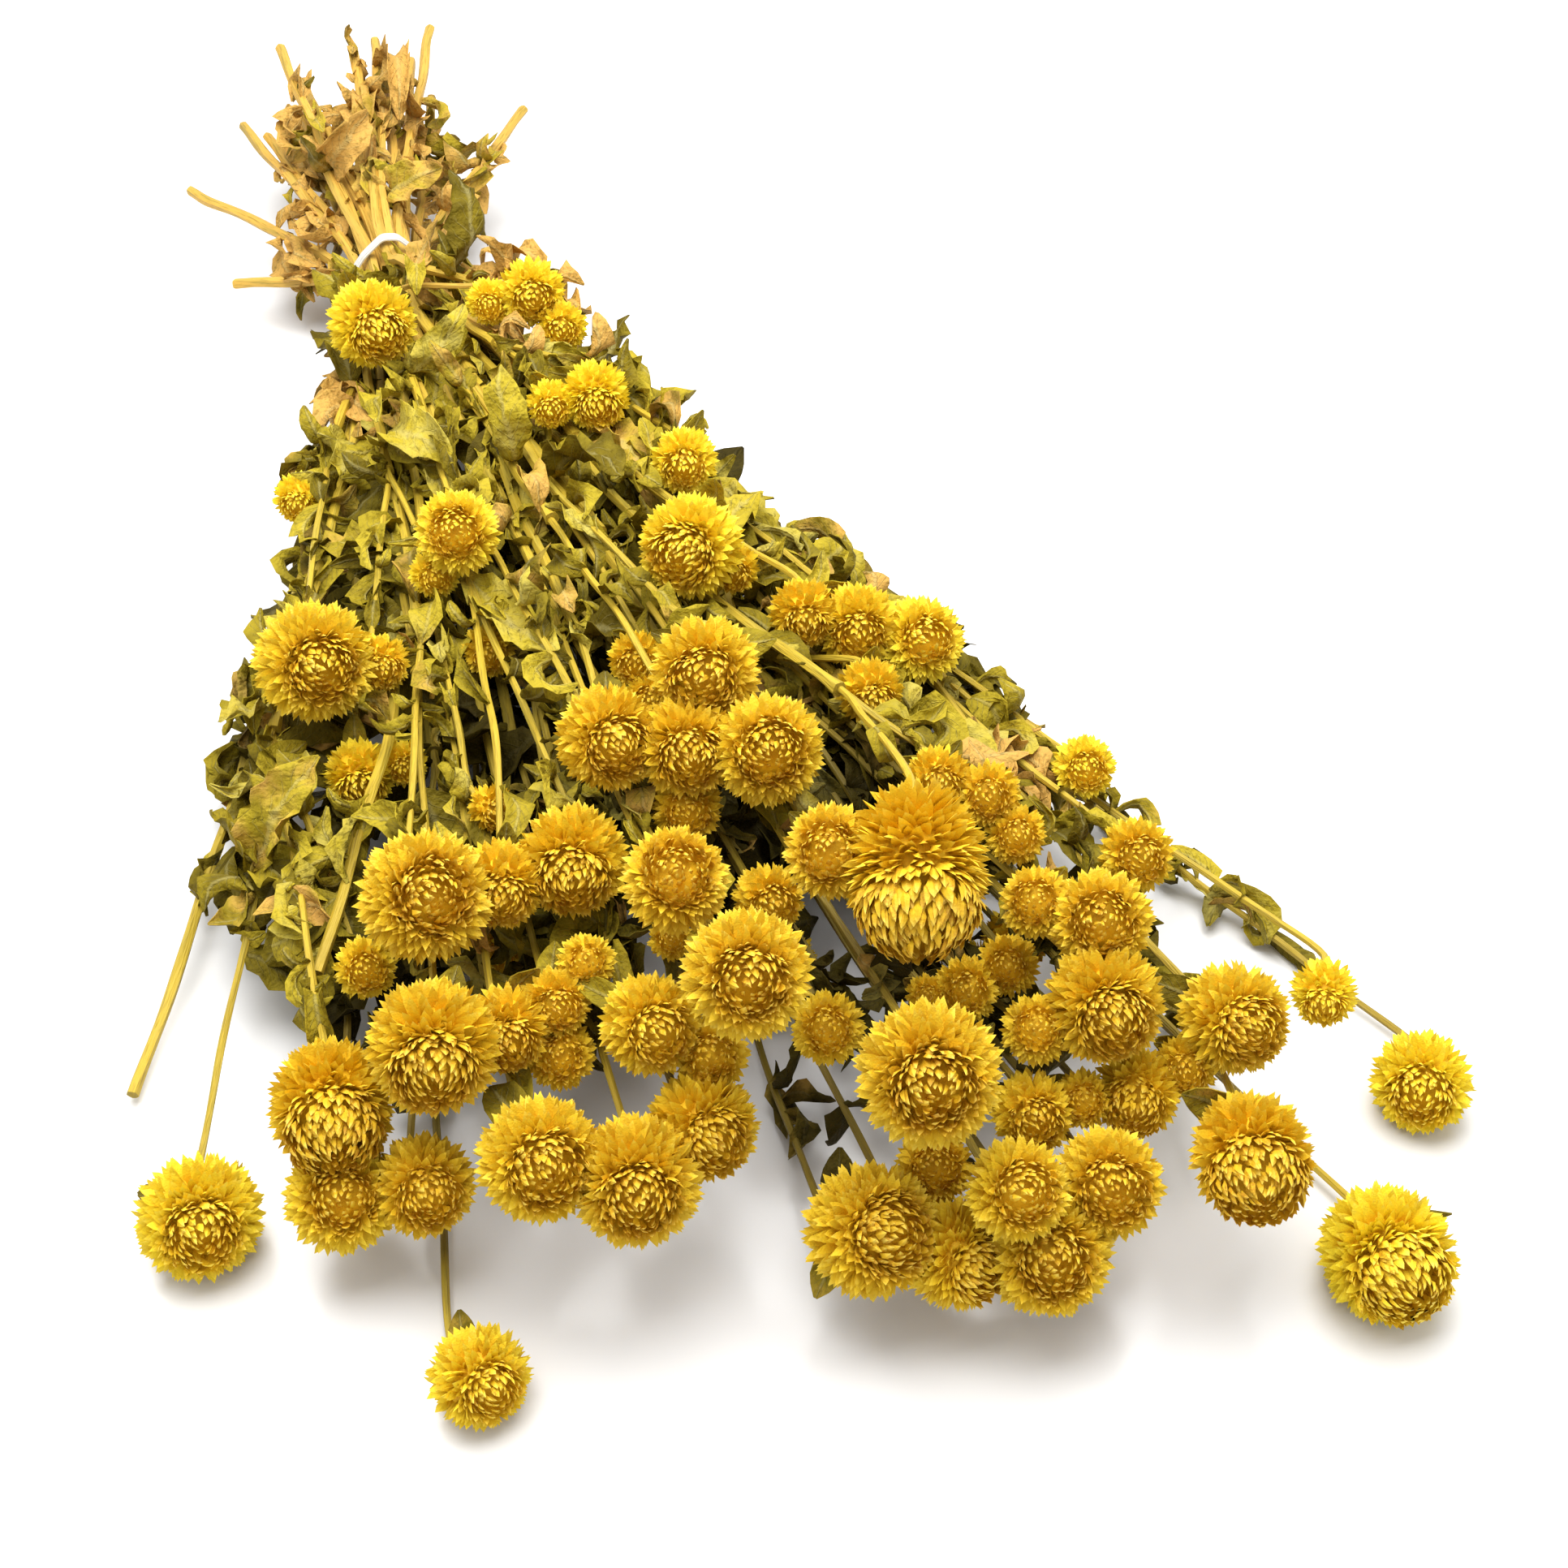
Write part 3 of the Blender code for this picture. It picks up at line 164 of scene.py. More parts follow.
def blend(graph, share, first, second):
    """Two colours mixed: the first where the share is 0, the second where it is 1."""
    colors = [c if isinstance(c, Wire) else (*c, 1.0) for c in (first, second)]
    return graph.node("Mix", {"data_type": "RGBA"}, {0: share, 6: colors[0], 7: colors[1]}, 2)


def rise(graph, wire, low, high):
    """0 below low, 1 above high, and a soft step between them."""
    limits = {"Value": wire, "From Min": low, "From Max": high}
    return graph.node("MapRange", {"interpolation_type": "SMOOTHSTEP"}, limits)


def noise(graph, where, scale, detail=2.0):
    """A cloudy number around 0.5, with grains 1 / scale wide."""
    return graph.node("TexNoise", {}, {"Vector": where, "Scale": scale, "Detail": detail})


def bump(graph, height, depth):
    """Feeds the shader's normal with a relief of so many metres."""
    made = graph.node("Bump", {}, {"Height": height, "Distance": depth, "Strength": 1.0}, "Normal")
    graph.feed("Normal", made)


print("helpers:", ", ".join(f.__name__ for f in (stored, blend, rise, noise, bump)))

# %% [markdown]
# ## How the picture was taken
#
# The picture looks down at the bunch from the side of the flower heads, so the near heads are large
# and the cut ends small. Its lens and middle are in its own pixels; the eye's place is real, in
# millimetres from the point on the table below the tied neck. The same numbers later turn a
# pixel and a height back into a place, which is how every head is set where the picture shows it.

# %% The picture's lens, and the eye's place and direction
LENS = 2800.0
MIDDLE = 966.0
EYE = np.array((-70.8, -570.8, 385.0))
PITCH = math.radians(45.0)
TURN = math.radians(18.4)
AHEAD = (math.sin(TURN) * math.cos(PITCH), math.cos(TURN) * math.cos(PITCH), -math.sin(PITCH))
FORWARD = np.array(AHEAD)
RIGHT = np.array((math.cos(TURN), -math.sin(TURN), 0.0))
UP = np.cross(RIGHT, FORWARD)

print("looking down", round(math.degrees(PITCH)), "degrees, turned", round(math.degrees(TURN), 1))

# %% [markdown]
# ## The plan
#
# The solids were made by a plan: each head was read from the picture, near ones were joined in a
# cluster, stalks were laid from the neck to the heads, and everything was pushed apart a little
# until nothing crossed. The fine meshes must lie exactly on those solids, so the lesson repeats the
# plan instead of measuring the solids. First come its sizes, in millimetres.

# %% The plan's sizes
# Real sizes that drive the bunch: the tied neck, the stems and their cut ends.
NECK_HEIGHT = 27.0
TIED = 7.0
MAIN_RADIUS = 1.75
ARM_RADIUS = 1.3
BRANCH_RADIUS = 0.95
RADII = {"main": MAIN_RADIUS, "arm": ARM_RADIUS}
BUTT_LENGTHS = (62.0, 122.0)
BUTT_SPREAD = 4.2
BUTT_RISE = 1.9
BUTT_STRAY = 5.0
FORK_SHARE = 0.4
STATION_SHARE = 0.62
STRAIGHT_END = 5.0
LONG_WAY = 45.0
LONG_TWIG = 32.0

# The elastic band, and the room between things that touch.
BAND_WIDTH = 3.0
BAND_THICKNESS = 1.1
BAND_CORNERS = 28
CLEARANCE = 0.55
SEAT_GAP = 0.3
STEM_TABLE_GAP = 0.1

# A flower head: how far behind its middle the flat of its base lies and how high a pressed one
# lies, both as shares of its half sizes, and how the heads that touch are joined.
SEAT_DEPTH = 0.73
PRESSED = 0.76
HEAD_CLUSTERS = 45
MOST_JOINED = 5
JOINED_SHARE = 0.74
LEAST_SHARE = 0.7

# Leaves, dried and curled.
LEAF_LENGTHS = (17.0, 40.0)
LEAF_WIDTHS = (0.28, 0.42)
LONG_LEAF = 30.0
LEAF_COUNT = 78
LEAF_ROUNDS = 60
LEAF_TRIES = 40
LONGEST_REACH = 1.2

# How heads and stems settle: room is made step by step, with no step longer than the stride.
HEAD_STEPS = 500
HEAD_FREE_STEPS = 100
NECK_STEPS = 1500
NECK_FREE_STEPS = 400
STEM_STEPS = 260
STEM_FREE_STEPS = 60
STRIDE = 2.5
NEARBY = 6.0
FAN_ACROSS = 26.0
FAN_UP = 55.0

print("stems of", 2 * MAIN_RADIUS, "mm, tied at", NECK_HEIGHT, "mm above the table")

# %% [markdown]
# Each head in view has its middle in the picture, its real width, the height of its middle above
# the table, where its tip shows (right and down of the middle, in half widths), and its length
# by its width. A few heads that the bunch hides have real places instead.

# %% The heads, as the picture shows them
HEADS = {
    "h01": (458, 398, 23.3, 50, 0.3, 0.4, 1.0),
    "h02": (368, 612, 13.1, 30, -0.2, 0.6, 1.0),
    "h03": (567, 650, 20.0, 60, -0.1, 0.0, 1.0),
    "h04": (532, 712, 12.1, 45, 0.1, 0.4, 1.0),
    "h05": (660, 360, 18.4, 50, 0.1, 0.4, 1.0),
    "h06": (690, 400, 14.2, 45, 0.0, 0.4, 1.0),
    "h07": (600, 372, 13.0, 48, 0.0, 0.4, 1.0),
    "h08": (672, 498, 12.9, 52, 0.1, 0.5, 1.0),
    "h09": (740, 485, 17.9, 52, 0.1, 0.6, 1.0),
    "h10": (843, 567, 16.6, 54, 0.0, 0.4, 1.0),
    "h11": (850, 672, 24.0, 63, -0.3, 0.3, 1.0),
    "h12": (905, 700, 12.3, 52, 0.0, 0.5, 1.0),
    "h13": (875, 803, 22.8, 72, -0.1, 0.3, 1.0),
    "h14": (970, 749, 16.0, 60, 0.1, 0.6, 1.0),
    "h15": (1053, 771, 19.8, 48, 0.1, 0.4, 0.95),
    "h16": (1155, 794, 20.3, 42, 0.3, 0.0, 0.95),
    "h17": (1072, 850, 15.1, 52, 0.2, 0.6, 1.0),
    "h18": (378, 815, 27.4, 48, 0.2, 0.2, 0.95),
    "h19": (479, 816, 13.4, 40, 0.2, 0.5, 1.0),
    "h20": (602, 801, 12.7, 38, 0.1, 0.4, 1.0),
    "h21": (785, 810, 13.2, 52, -0.1, 0.4, 1.0),
    "h22": (802, 860, 12.0, 48, -0.1, 0.3, 1.0),
    "h23": (422, 958, 16.4, 25, 0.1, 0.7, 1.0),
    "h24": (518, 935, 11.1, 28, 0.1, 0.5, 1.0),
    "h25": (606, 995, 10.4, 45, 0.5, 0.5, 1.1),
    "h26": (505, 1108, 26.6, 60, 0.2, 0.0, 0.95),
    "h27": (623, 1089, 18.1, 48, 0.0, 0.6, 1.0),
    "h28": (717, 1055, 22.6, 52, 0.0, 0.6, 1.05),
    "h29": (718, 905, 22.0, 64, 0.3, 0.3, 1.0),
    "h30": (841, 926, 21.5, 66, 0.1, 0.4, 1.0),
    "h31": (978, 925, 23.5, 68, 0.1, 0.1, 1.0),
    "h32": (845, 1010, 15.3, 46, 0.1, 0.3, 1.0),
    "h33": (831, 1085, 21.0, 66, 0.1, -0.2, 1.0),
    "h34": (1012, 1040, 19.0, 68, -0.1, 0.0, 1.0),
    "h35": (1143, 1080, 27.6, 77, 0.05, 1.15, 1.3),
    "h36": (1133, 952, 14.0, 60, 0.1, 0.4, 1.0),
    "h37": (920, 1200, 24.5, 67, 0.1, 0.2, 0.95),
    "h38": (946, 1108, 15.0, 46, 0.3, 0.3, 1.0),
    "h39": (741, 1164, 12.2, 44, 0.0, 0.0, 1.0),
    "h40": (693, 1223, 14.5, 41, 0.2, 0.3, 1.0),
    "h41": (785, 1253, 20.1, 50, 0.3, 0.3, 1.0),
    "h42": (826, 1156, 9.5, 40, 0.1, 0.1, 1.0),
    "h43": (1020, 1266, 14.7, 42, 0.0, 0.1, 1.0),
    "h44": (1120, 1228, 8.6, 38, 0.1, 0.2, 1.0),
    "h45": (1236, 981, 14.2, 56, 0.1, 0.2, 1.0),
    "h46": (1255, 1032, 12.9, 51, 0.1, 0.2, 1.0),
    "h47": (1262, 1108, 14.7, 53, -0.1, 0.0, 1.0),
    "h48": (1370, 1121, 20.6, 54, 0.1, 0.1, 1.0),
    "h49": (1400, 1053, 16.2, 40, 0.2, 0.2, 1.0),
    "h50": (1335, 945, 14.5, 33, 0.2, 0.2, 1.0),
    "h51": (1375, 1253, 23.5, 46, 0.3, 0.5, 1.0),
    "h52": (1266, 1273, 14.3, 40, 0.0, 0.0, 1.0),
    "h53": (1530, 1242, 22.2, 42, 0.5, 0.3, 1.0),
    "h54": (1631, 1222, 14.3, 26, 0.0, 0.7, 1.0),
    "h55": (1755, 1322, 21.3, 11, 0.0, 0.4, 1.0),
    "h56": (1324, 1350, 12.1, 31, 0.0, 0.2, 1.0),
    "h57": (1415, 1345, 17.5, 27, -0.1, 0.6, 1.1),
    "h58": (1467, 1315, 12.9, 27, 0.0, 0.4, 1.0),
    "h59": (1542, 1425, 23.2, 36, 0.2, 0.7, 1.24),
    "h60": (1378, 1443, 21.4, 31, 0.2, 0.2, 1.0),
    "h61": (1253, 1467, 19.7, 37, 0.3, 0.1, 1.0),
    "h62": (1303, 1554, 24.8, 22, 0.2, 0.3, 0.95),
    "h63": (1176, 1553, 21.4, 19, 0.7, 0.4, 1.0),
    "h64": (1048, 1504, 25.6, 23, 0.5, 0.1, 1.0),
    "h65": (1145, 1323, 27.1, 58, 0.1, 0.3, 0.95),
    "h66": (1248, 1377, 16.7, 31, 0.2, 0.4, 1.0),
    "h67": (1152, 1440, 15.4, 22, 0.1, 0.1, 1.0),
    "h68": (1258, 1180, 13.1, 35, 0.0, 0.1, 1.0),
    "h69": (1195, 1226, 13.8, 34, 0.0, 0.1, 1.0),
    "h70": (1709, 1545, 26.0, 10, 0.4, 0.6, 1.14),
    "h71": (245, 1498, 25.1, 10, 0.0, 0.2, 0.95),
    "h72": (409, 1500, 22.6, 18, 0.0, 0.1, 0.95),
    "h73": (408, 1336, 23.9, 35, 0.1, 0.8, 1.24),
    "h74": (511, 1295, 25.9, 54, 0.0, 0.6, 1.0),
    "h75": (611, 1279, 17.5, 42, 0.2, 0.6, 1.0),
    "h76": (640, 1422, 23.9, 39, 0.2, 0.3, 1.0),
    "h77": (537, 1457, 20.2, 24, 0.2, 0.4, 1.0),
    "h78": (590, 1694, 19.7, 8, 0.2, 0.0, 0.95),
    "h79": (450, 1192, 13.3, 30, 0.1, 0.2, 1.0),
    "h80": (691, 1317, 14.5, 27, 0.0, 0.2, 1.0),
    "h81": (893, 1301, 15.4, 37, 0.0, 0.2, 1.0),
    "h82": (866, 1390, 21.9, 33, 0.4, 0.5, 1.0),
    "h83": (805, 1461, 25.2, 33, 0.1, 0.5, 0.95),
}

# The heads that the bunch hides: real place on the plan, width and height above the table.
HIDDEN_HEADS = {
    "u01": (-30, -242, 16.0, 13),
    "u02": (-14, -249, 18.0, 13),
    "u03": (14, -262, 17.0, 13),
    "u04": (30, -270, 18.0, 13),
    "u05": (66, -288, 16.0, 14),
    "u06": (80, -279, 15.0, 15),
    "u07": (6, -212, 15.0, 15),
    "u08": (20, -221, 16.0, 14),
}

# The heads that lie on the table, each with a flat spot pressed into it.
PRESSED_HEADS = ("h55", "h70", "h71", "h78")

print(len(HEADS), "heads in view,", len(HIDDEN_HEADS), "hidden")

# %% [markdown]
# A spray is two plants that grow into one: four stalks, the first two forking from one main stem
# and the last two from the other. A stalk has the heads that it carries and, where the picture shows
# its course, points on the way. The large leaves have a root, a tip and a real width.

# %% The sprays
SPRAYS = {
    "far_left": [
        (("h71",), [(440, 590, 34), (345, 735, 30), (300, 910, 26), (318, 1080, 22)]),
        (("h73", "h79"), [(455, 600, 38), (380, 740, 33), (335, 900, 28)]),
        (("h72",), []),
        ((), [(430, 590, 30), (332, 735, 24), (290, 910, 16), (275, 1110, 8), (165, 1350, 3)]),
    ],
    "left": [
        (("h02", "h18"), []),
        (("h19", "h04"), []),
        (("h26",), []),
        (("h74",), []),
    ],
    "left_low": [
        (("h77", "h76"), []),
        (("h78",), []),
        (("h23", "h24"), []),
        ((), [(575, 715, 40), (545, 840, 38), (490, 950, 34), (430, 1080, 30), (392, 1200, 26)]),
    ],
    "left_top": [
        (("h03",), []),
        (("h29", "h20"), []),
        (("h28", "h27"), []),
        (("h25", "h75"), []),
    ],
    "middle_low": [
        (("h83",), []),
        (("h82", "h81"), []),
        (("h40", "h80"), []),
        (("h41", "h39"), []),
    ],
    "middle_top": [
        (("h13", "h21"), []),
        (("h30",), []),
        (("h33", "h32"), []),
        (("h22", "h42"), []),
    ],
    "middle_right": [
        (("h31",), []),
        (("h34",), []),
        (("h37",), []),
        (("h38", "h43"), []),
    ],
    "crown": [
        (("h01", "h07"), []),
        (("h05", "h06"), []),
        (("h08", "h09"), []),
        (("h10",), []),
    ],
    "right_top": [
        (("h11", "h12"), []),
        (("h14", "h17"), []),
        (("h35", "h36"), [(935, 748, 52), (1050, 840, 58)]),
        (("h65",), []),
    ],
    "right_middle": [
        (("h15", "h16"), []),
        (("h45", "h46"), []),
        (("h47", "h68"), []),
        (("h48", "h69"), []),
    ],
    "front_low": [
        (("h64", "h67"), []),
        (("h63",), []),
        (("h61", "h66"), []),
        (("h62", "h44"), []),
    ],
    "far_right": [
        (("h49", "h50"), []),
        (("h51", "h52"), []),
        (("h53", "h54"), []),
        (("h55",), []),
    ],
    "right_low": [
        (("h57", "h58"), []),
        (("h59",), []),
        (("h60", "h56"), []),
        (("h70",), []),
    ],
    "underside": [
        (("u01", "u02"), []),
        (("u03", "u04"), []),
        (("u05", "u06"), []),
        (("u07", "u08"), []),
    ],
}

print(len(SPRAYS), "sprays")

# %% The large leaves in view
# By spray: where each leaf shows its root and its tip (picture x and y, real height), and its real
# width.
LARGE_LEAVES = {
    "far_left": [
        ((322, 1075, 24), (262, 1008, 26), 13),
        ((318, 1060, 24), (300, 930, 30), 12),
        ((335, 1075, 24), (440, 945, 34), 14),
        ((320, 1090, 22), (270, 1065, 16), 10),
        ((332, 1085, 22), (392, 1125, 20), 11),
        ((470, 500, 42), (420, 590, 36), 17),
    ],
    "left": [
        ((505, 480, 52), (560, 590, 48), 15),
        ((420, 640, 42), (350, 690, 30), 10),
        ((410, 470, 34), (390, 440, 24), 12),
    ],
    "left_low": [
        ((500, 890, 40), (400, 930, 36), 12),
        ((370, 190, 36), (345, 90, 38), 14),
    ],
    "left_top": [
        ((640, 640, 56), (690, 820, 52), 13),
        ((455, 170, 44), (500, 120, 50), 14),
    ],
    "middle_top": [
        ((700, 560, 58), (770, 610, 56), 16),
        ((470, 260, 46), (500, 190, 50), 12),
    ],
    "crown": [
        ((560, 440, 58), (640, 470, 58), 14),
        ((560, 230, 40), (620, 200, 46), 12),
    ],
    "right_top": [
        ((720, 440, 48), (790, 350, 56), 15),
        ((900, 640, 54), (960, 580, 50), 11),
        ((610, 300, 42), (700, 300, 44), 12),
    ],
    "right_middle": [
        ((1095, 745, 40), (1100, 655, 52), 11),
        ((1200, 890, 36), (1290, 880, 40), 9),
    ],
    "far_right": [
        ((1330, 1010, 34), (1420, 1010, 30), 10),
        ((1500, 1150, 26), (1575, 1170, 16), 9),
        ((1440, 1110, 30), (1490, 1080, 28), 8),
    ],
    "middle_right": [
        ((880, 880, 56), (960, 860, 56), 9),
    ],
    "front_low": [
        ((1060, 1360, 30), (1020, 1420, 26), 8),
    ],
}

print(sum(map(len, LARGE_LEAVES.values())), "large leaves")

# %% Cut ends, sides and spots
# Cut ends that the picture shows, by spray and main stem: picture x and y, and real height.
CUT_ENDS = {
    ("far_left", 0): (235, 235, 14),
    ("far_left", 1): (290, 350, 12),
    ("left", 0): (300, 155, 24),
    ("left", 1): (330, 170, 24),
    ("left_top", 1): (355, 60, 40),
    ("crown", 0): (435, 60, 46),
    ("crown", 1): (462, 50, 44),
    ("right_top", 0): (530, 35, 38),
    ("far_right", 0): (645, 135, 22),
}

# The bunch's sides in the picture, as far as leaves may reach: y, left x and right x.
LEAFY_SIDES = ((60, 400, 440), (110, 340, 560), (170, 345, 620), (300, 340, 740), (480, 380, 850),
               (700, 320, 1130), (900, 260, 1310), (1150, 240, 1600), (1250, 330, 1650))

# Spots in the picture: middle x and y, half width and half height. At some one looks into the shadowed
# inside of the bunch, where leaves get full painted shade, and at others, away from the cut ends, the
# leaves are brown.
SHADOW_SPOTS = ((615, 895, 65, 70), (1045, 1130, 60, 60), (715, 835, 45, 40), (700, 1330, 60, 50))
BROWN_SPOTS = ((700, 345, 110, 75), (775, 390, 45, 55), (400, 470, 45, 60), (355, 300, 45, 60),
               (1245, 950, 70, 35))

print(len(CUT_ENDS), "cut ends in view")

# %% [markdown]
# A pixel alone is a ray. With a height above the table it is one point, and that is how a place is
# read from the picture. A head also gets an axis from the place where its tip shows.

# %% From the picture to real places
def unit(vector):
    """The same direction, one long."""
    return vector / max(np.linalg.norm(vector), 1e-9)


def square_to(axis):
    """Two directions square to an axis and to one another."""
    helper = np.array((0.0, 0.0, 1.0)) if abs(axis[2]) < 0.9 else np.array((1.0, 0.0, 0.0))
    side = unit(np.cross(axis, helper))
    return side, np.cross(axis, side)


def soft_step(low, high, value):
    """0 below low, 1 above high, with a smooth way between."""
    share = np.clip((value - low) / (high - low), 0.0, 1.0)
    return share * share * (3.0 - 2.0 * share)


def place(x, y, height):
    """The real point that the picture shows at pixel x, y, at a known height above the table."""
    ray = FORWARD + (x - MIDDLE) / LENS * RIGHT - (y - MIDDLE) / LENS * UP
    return EYE + ray * (height - EYE[2]) / ray[2]


def in_picture(point):
    """The picture x and y of a real point."""
    ray = point - EYE
    scale = LENS / (ray @ FORWARD)
    return MIDDLE + (ray @ RIGHT) * scale, MIDDLE - (ray @ UP) * scale


print("the picture's middle shows the table at", np.round(place(MIDDLE, MIDDLE, 0.0)[:2]), "mm")

# %% Read the heads
STALK_BEHIND = 4.0
TIP_CLEARANCE = 2.2
LEAST_FACING = 0.08
HIDDEN_FAN, HIDDEN_DIP = 0.004, 0.1


def read_heads():
    """Every head as a record of its middle, its axis towards the tip, its width and length."""
    heads = {}
    for name, (x, y, width, height, lean_right, lean_down, ratio) in HEADS.items():
        centre = place(x, y, height)
        sight = unit(EYE - centre)
        right = unit(np.cross(sight, UP)) * -1.0
        down = np.cross(right, sight)
        across = np.array((lean_right, lean_down)) / max(ratio, 1.0)
        towards = math.sqrt(max(1.0 - across @ across, LEAST_FACING))
        axis = unit(across[0] * right + across[1] * down + towards * sight)
        heads[name] = {"centre": centre, "axis": axis, "width": width, "length": width * ratio}
    for name, (x, y, width, height) in HIDDEN_HEADS.items():
        axis = unit(np.array((x * HIDDEN_FAN, -1.0, -HIDDEN_DIP)))
        centre = np.array((x, y, height), float)
        heads[name] = {"centre": centre, "axis": axis, "width": width, "length": width}
    for name, head in heads.items():
        reach = head["length"] / 2.0 + STALK_BEHIND
        if name in PRESSED_HEADS:
            head["centre"][2] = PRESSED * head["width"] / 2.0
        steepest = max(0.0, (head["centre"][2] - TIP_CLEARANCE) / reach)
        if head["axis"][2] > steepest:
            flat = unit(head["axis"] * np.array((1.0, 1.0, 0.0)))
            head["axis"] = flat * math.sqrt(1.0 - steepest**2) + np.array((0.0, 0.0, steepest))
    return heads


heads = read_heads()
widths = [head["width"] for head in heads.values()]
print("widths", min(widths), "to", max(widths), "mm")

# %% [markdown]
# Heads that touch in the real bunch are one cluster, and each cluster is one node of the model.
# Heads that would overlap are then moved apart by many small steps, as beads in a box would settle.

# %% Which heads grow together
def cluster_heads(heads):
    """Join the closest heads, a few together, and return cluster numbers and joined pairs."""
    names = list(heads)
    cluster = {name: {name} for name in names}
    gaps = []
    for i, a in enumerate(names):
        for b in names[i + 1 :]:
            apart = np.linalg.norm(heads[a]["centre"] - heads[b]["centre"])
            gaps.append((apart - (heads[a]["width"] + heads[b]["width"]) / 2.0, a, b))
    pairs = []
    count = len(names)
    for gap, a, b in sorted(gaps):
        if count <= HEAD_CLUSTERS:
            break
        if cluster[a] is cluster[b] or len(cluster[a]) + len(cluster[b]) > MOST_JOINED:
            continue
        joined = cluster[a] | cluster[b]
        for name in joined:
            cluster[name] = joined
        pairs.append((a, b))
        count -= 1
    order = []
    for name in names:
        if cluster[name] not in order:
            order.append(cluster[name])
    return {name: order.index(cluster[name]) for name in names}, pairs


cluster, pairs = cluster_heads(heads)
print(len(set(cluster.values())), "clusters,", len(pairs), "joined pairs")

# %% Balls that stand for the heads
STALK_SPOTS = (2.0, 5.0)
STALK_ROOM = 1.6


def ball_places(head):
    """How far along its axis the balls lie that fill a head: one ball, or two in a long head."""
    shift = max(0.0, (head["length"] - head["width"]) / 2.0)
    return sorted({shift, -shift})


def balls_and_stalks(heads):
    """Balls in every head and at the start of its stalk, to keep room for both.

    For each: its head's number, its place along the axis, its radius, and if it is in the head.
    """
    rows = []
    for i, head in enumerate(heads.values()):
        rows += [(i, along, head["width"] / 2.0, True) for along in ball_places(head)]
        rows += [(i, -head["length"] / 2.0 - behind, STALK_ROOM, False) for behind in STALK_SPOTS]
    return [np.array(column) for column in zip(*rows)]


print(len(balls_and_stalks(heads)[0]), "balls for", len(heads), "heads")

# %% Make room for every head
TABLE_GAP = 0.4
HEAD_PUSH = 0.3
HEAD_PULL = 0.35
HEAD_HOMING = 0.04
SIGHT_FREEDOM = 0.8


def settle_heads(heads, cluster, pairs):
    """Move heads that would overlap apart, and the joined ones into each other, by small steps."""
    names = list(heads)
    centre = np.array([heads[n]["centre"] for n in names])
    home = centre.copy()
    axis = np.array([heads[n]["axis"] for n in names])
    group = np.array([cluster[n] for n in names])
    owner, offset, radius, body = balls_and_stalks(heads)
    first, second = np.triu_indices(len(owner), 1)
    keep = owner[first] != owner[second]
    first, second = first[keep], second[keep]
    both = body[first] & body[second] & (group[owner[first]] == group[owner[second]])
    reach = radius[first] + radius[second]
    need = np.where(both, LEAST_SHARE * reach, reach + CLEARANCE)
    joined = [(names.index(a), names.index(b)) for a, b in pairs]
    pressed = np.array([n in PRESSED_HEADS for n in names])
    lowest = np.array([heads[n]["width"] / 2.0 + TABLE_GAP for n in names])
    for step in range(HEAD_STEPS):
        ball = centre[owner] + offset[:, None] * axis[owner]
        apart = ball[first] - ball[second]
        far = np.linalg.norm(apart, axis=1)
        hit = need > far
        move = (apart[hit] / far[hit, None]) * (need - far)[hit, None] * HEAD_PUSH
        push = np.zeros_like(centre)
        np.add.at(push, owner[first[hit]], move)
        np.add.at(push, owner[second[hit]], -move)
        for i, j in joined:
            way = centre[j] - centre[i]
            distance = np.linalg.norm(way)
            wanted = JOINED_SHARE * (heads[names[i]]["width"] + heads[names[j]]["width"]) / 2.0
            pull = unit(way) * (distance - wanted) * HEAD_PULL
            push[i] += pull
            push[j] -= pull
        if step < HEAD_STEPS - HEAD_FREE_STEPS:
            sight = home - EYE
            sight /= np.linalg.norm(sight, axis=1)[:, None]
            astray = home - centre
            sideways = astray - SIGHT_FREEDOM * (astray * sight).sum(axis=1)[:, None] * sight
            push += HEAD_HOMING * sideways
        centre = centre + push
        centre[:, 2] = np.where(pressed, home[:, 2], np.maximum(centre[:, 2], lowest))
    for n, point in zip(names, centre):
        heads[n]["centre"] = point


settle_heads(heads, cluster, pairs)
print("highest head at", round(max(h["centre"][2] for h in heads.values()), 1), "mm")

# %% [markdown]
# Stems run from a cut end through the tied neck, fork, and end behind their heads. They could
# be drawn by hand, but 175 stretches of them are better laid by a rule: smooth curves first, then
# small pushes wherever two of them, or a stem and a head, come too close.

# %% Smooth courses
LOWEST_STEM = MAIN_RADIUS + STEM_TABLE_GAP
ARRIVAL = 0.8


def between(t, start, leave, end, arrive):
    """A point on a smooth curve between two points with given directions at both."""
    a = 2 * t**3 - 3 * t**2 + 1
    b = t**3 - 2 * t**2 + t
    c = -2 * t**3 + 3 * t**2
    d = t**3 - t**2
    return a * start + b * leave + c * end + d * arrive


def curve(start, leave, end, arrive, count):
    """Evenly spaced points of such a curve, both ends included."""
    return [between(i / count, start, leave, end, arrive) for i in range(count + 1)]


def seat(head):
    """Where a head's stalk ends, a hair behind the flat of its base."""
    return head["centre"] - head["axis"] * (SEAT_DEPTH * head["length"] / 2.0 + SEAT_GAP)


def cut_end(main, across, above, chance):
    """Where a main stem is cut: as the picture shows it, or fanned out behind the neck by chance."""
    length = chance.uniform(*BUTT_LENGTHS)
    share = length / BUTT_LENGTHS[1]
    spread = 1.0 + (BUTT_SPREAD - 1.0) * share
    lift = 1.0 + (BUTT_RISE - 1.0) * share
    stray = chance.uniform(-BUTT_STRAY, BUTT_STRAY)
    butt = np.array((across * spread + stray, length, NECK_HEIGHT + above * lift))
    if main in CUT_ENDS:
        butt = place(*CUT_ENDS[main])
    butt[2] = max(butt[2], LOWEST_STEM)
    return butt


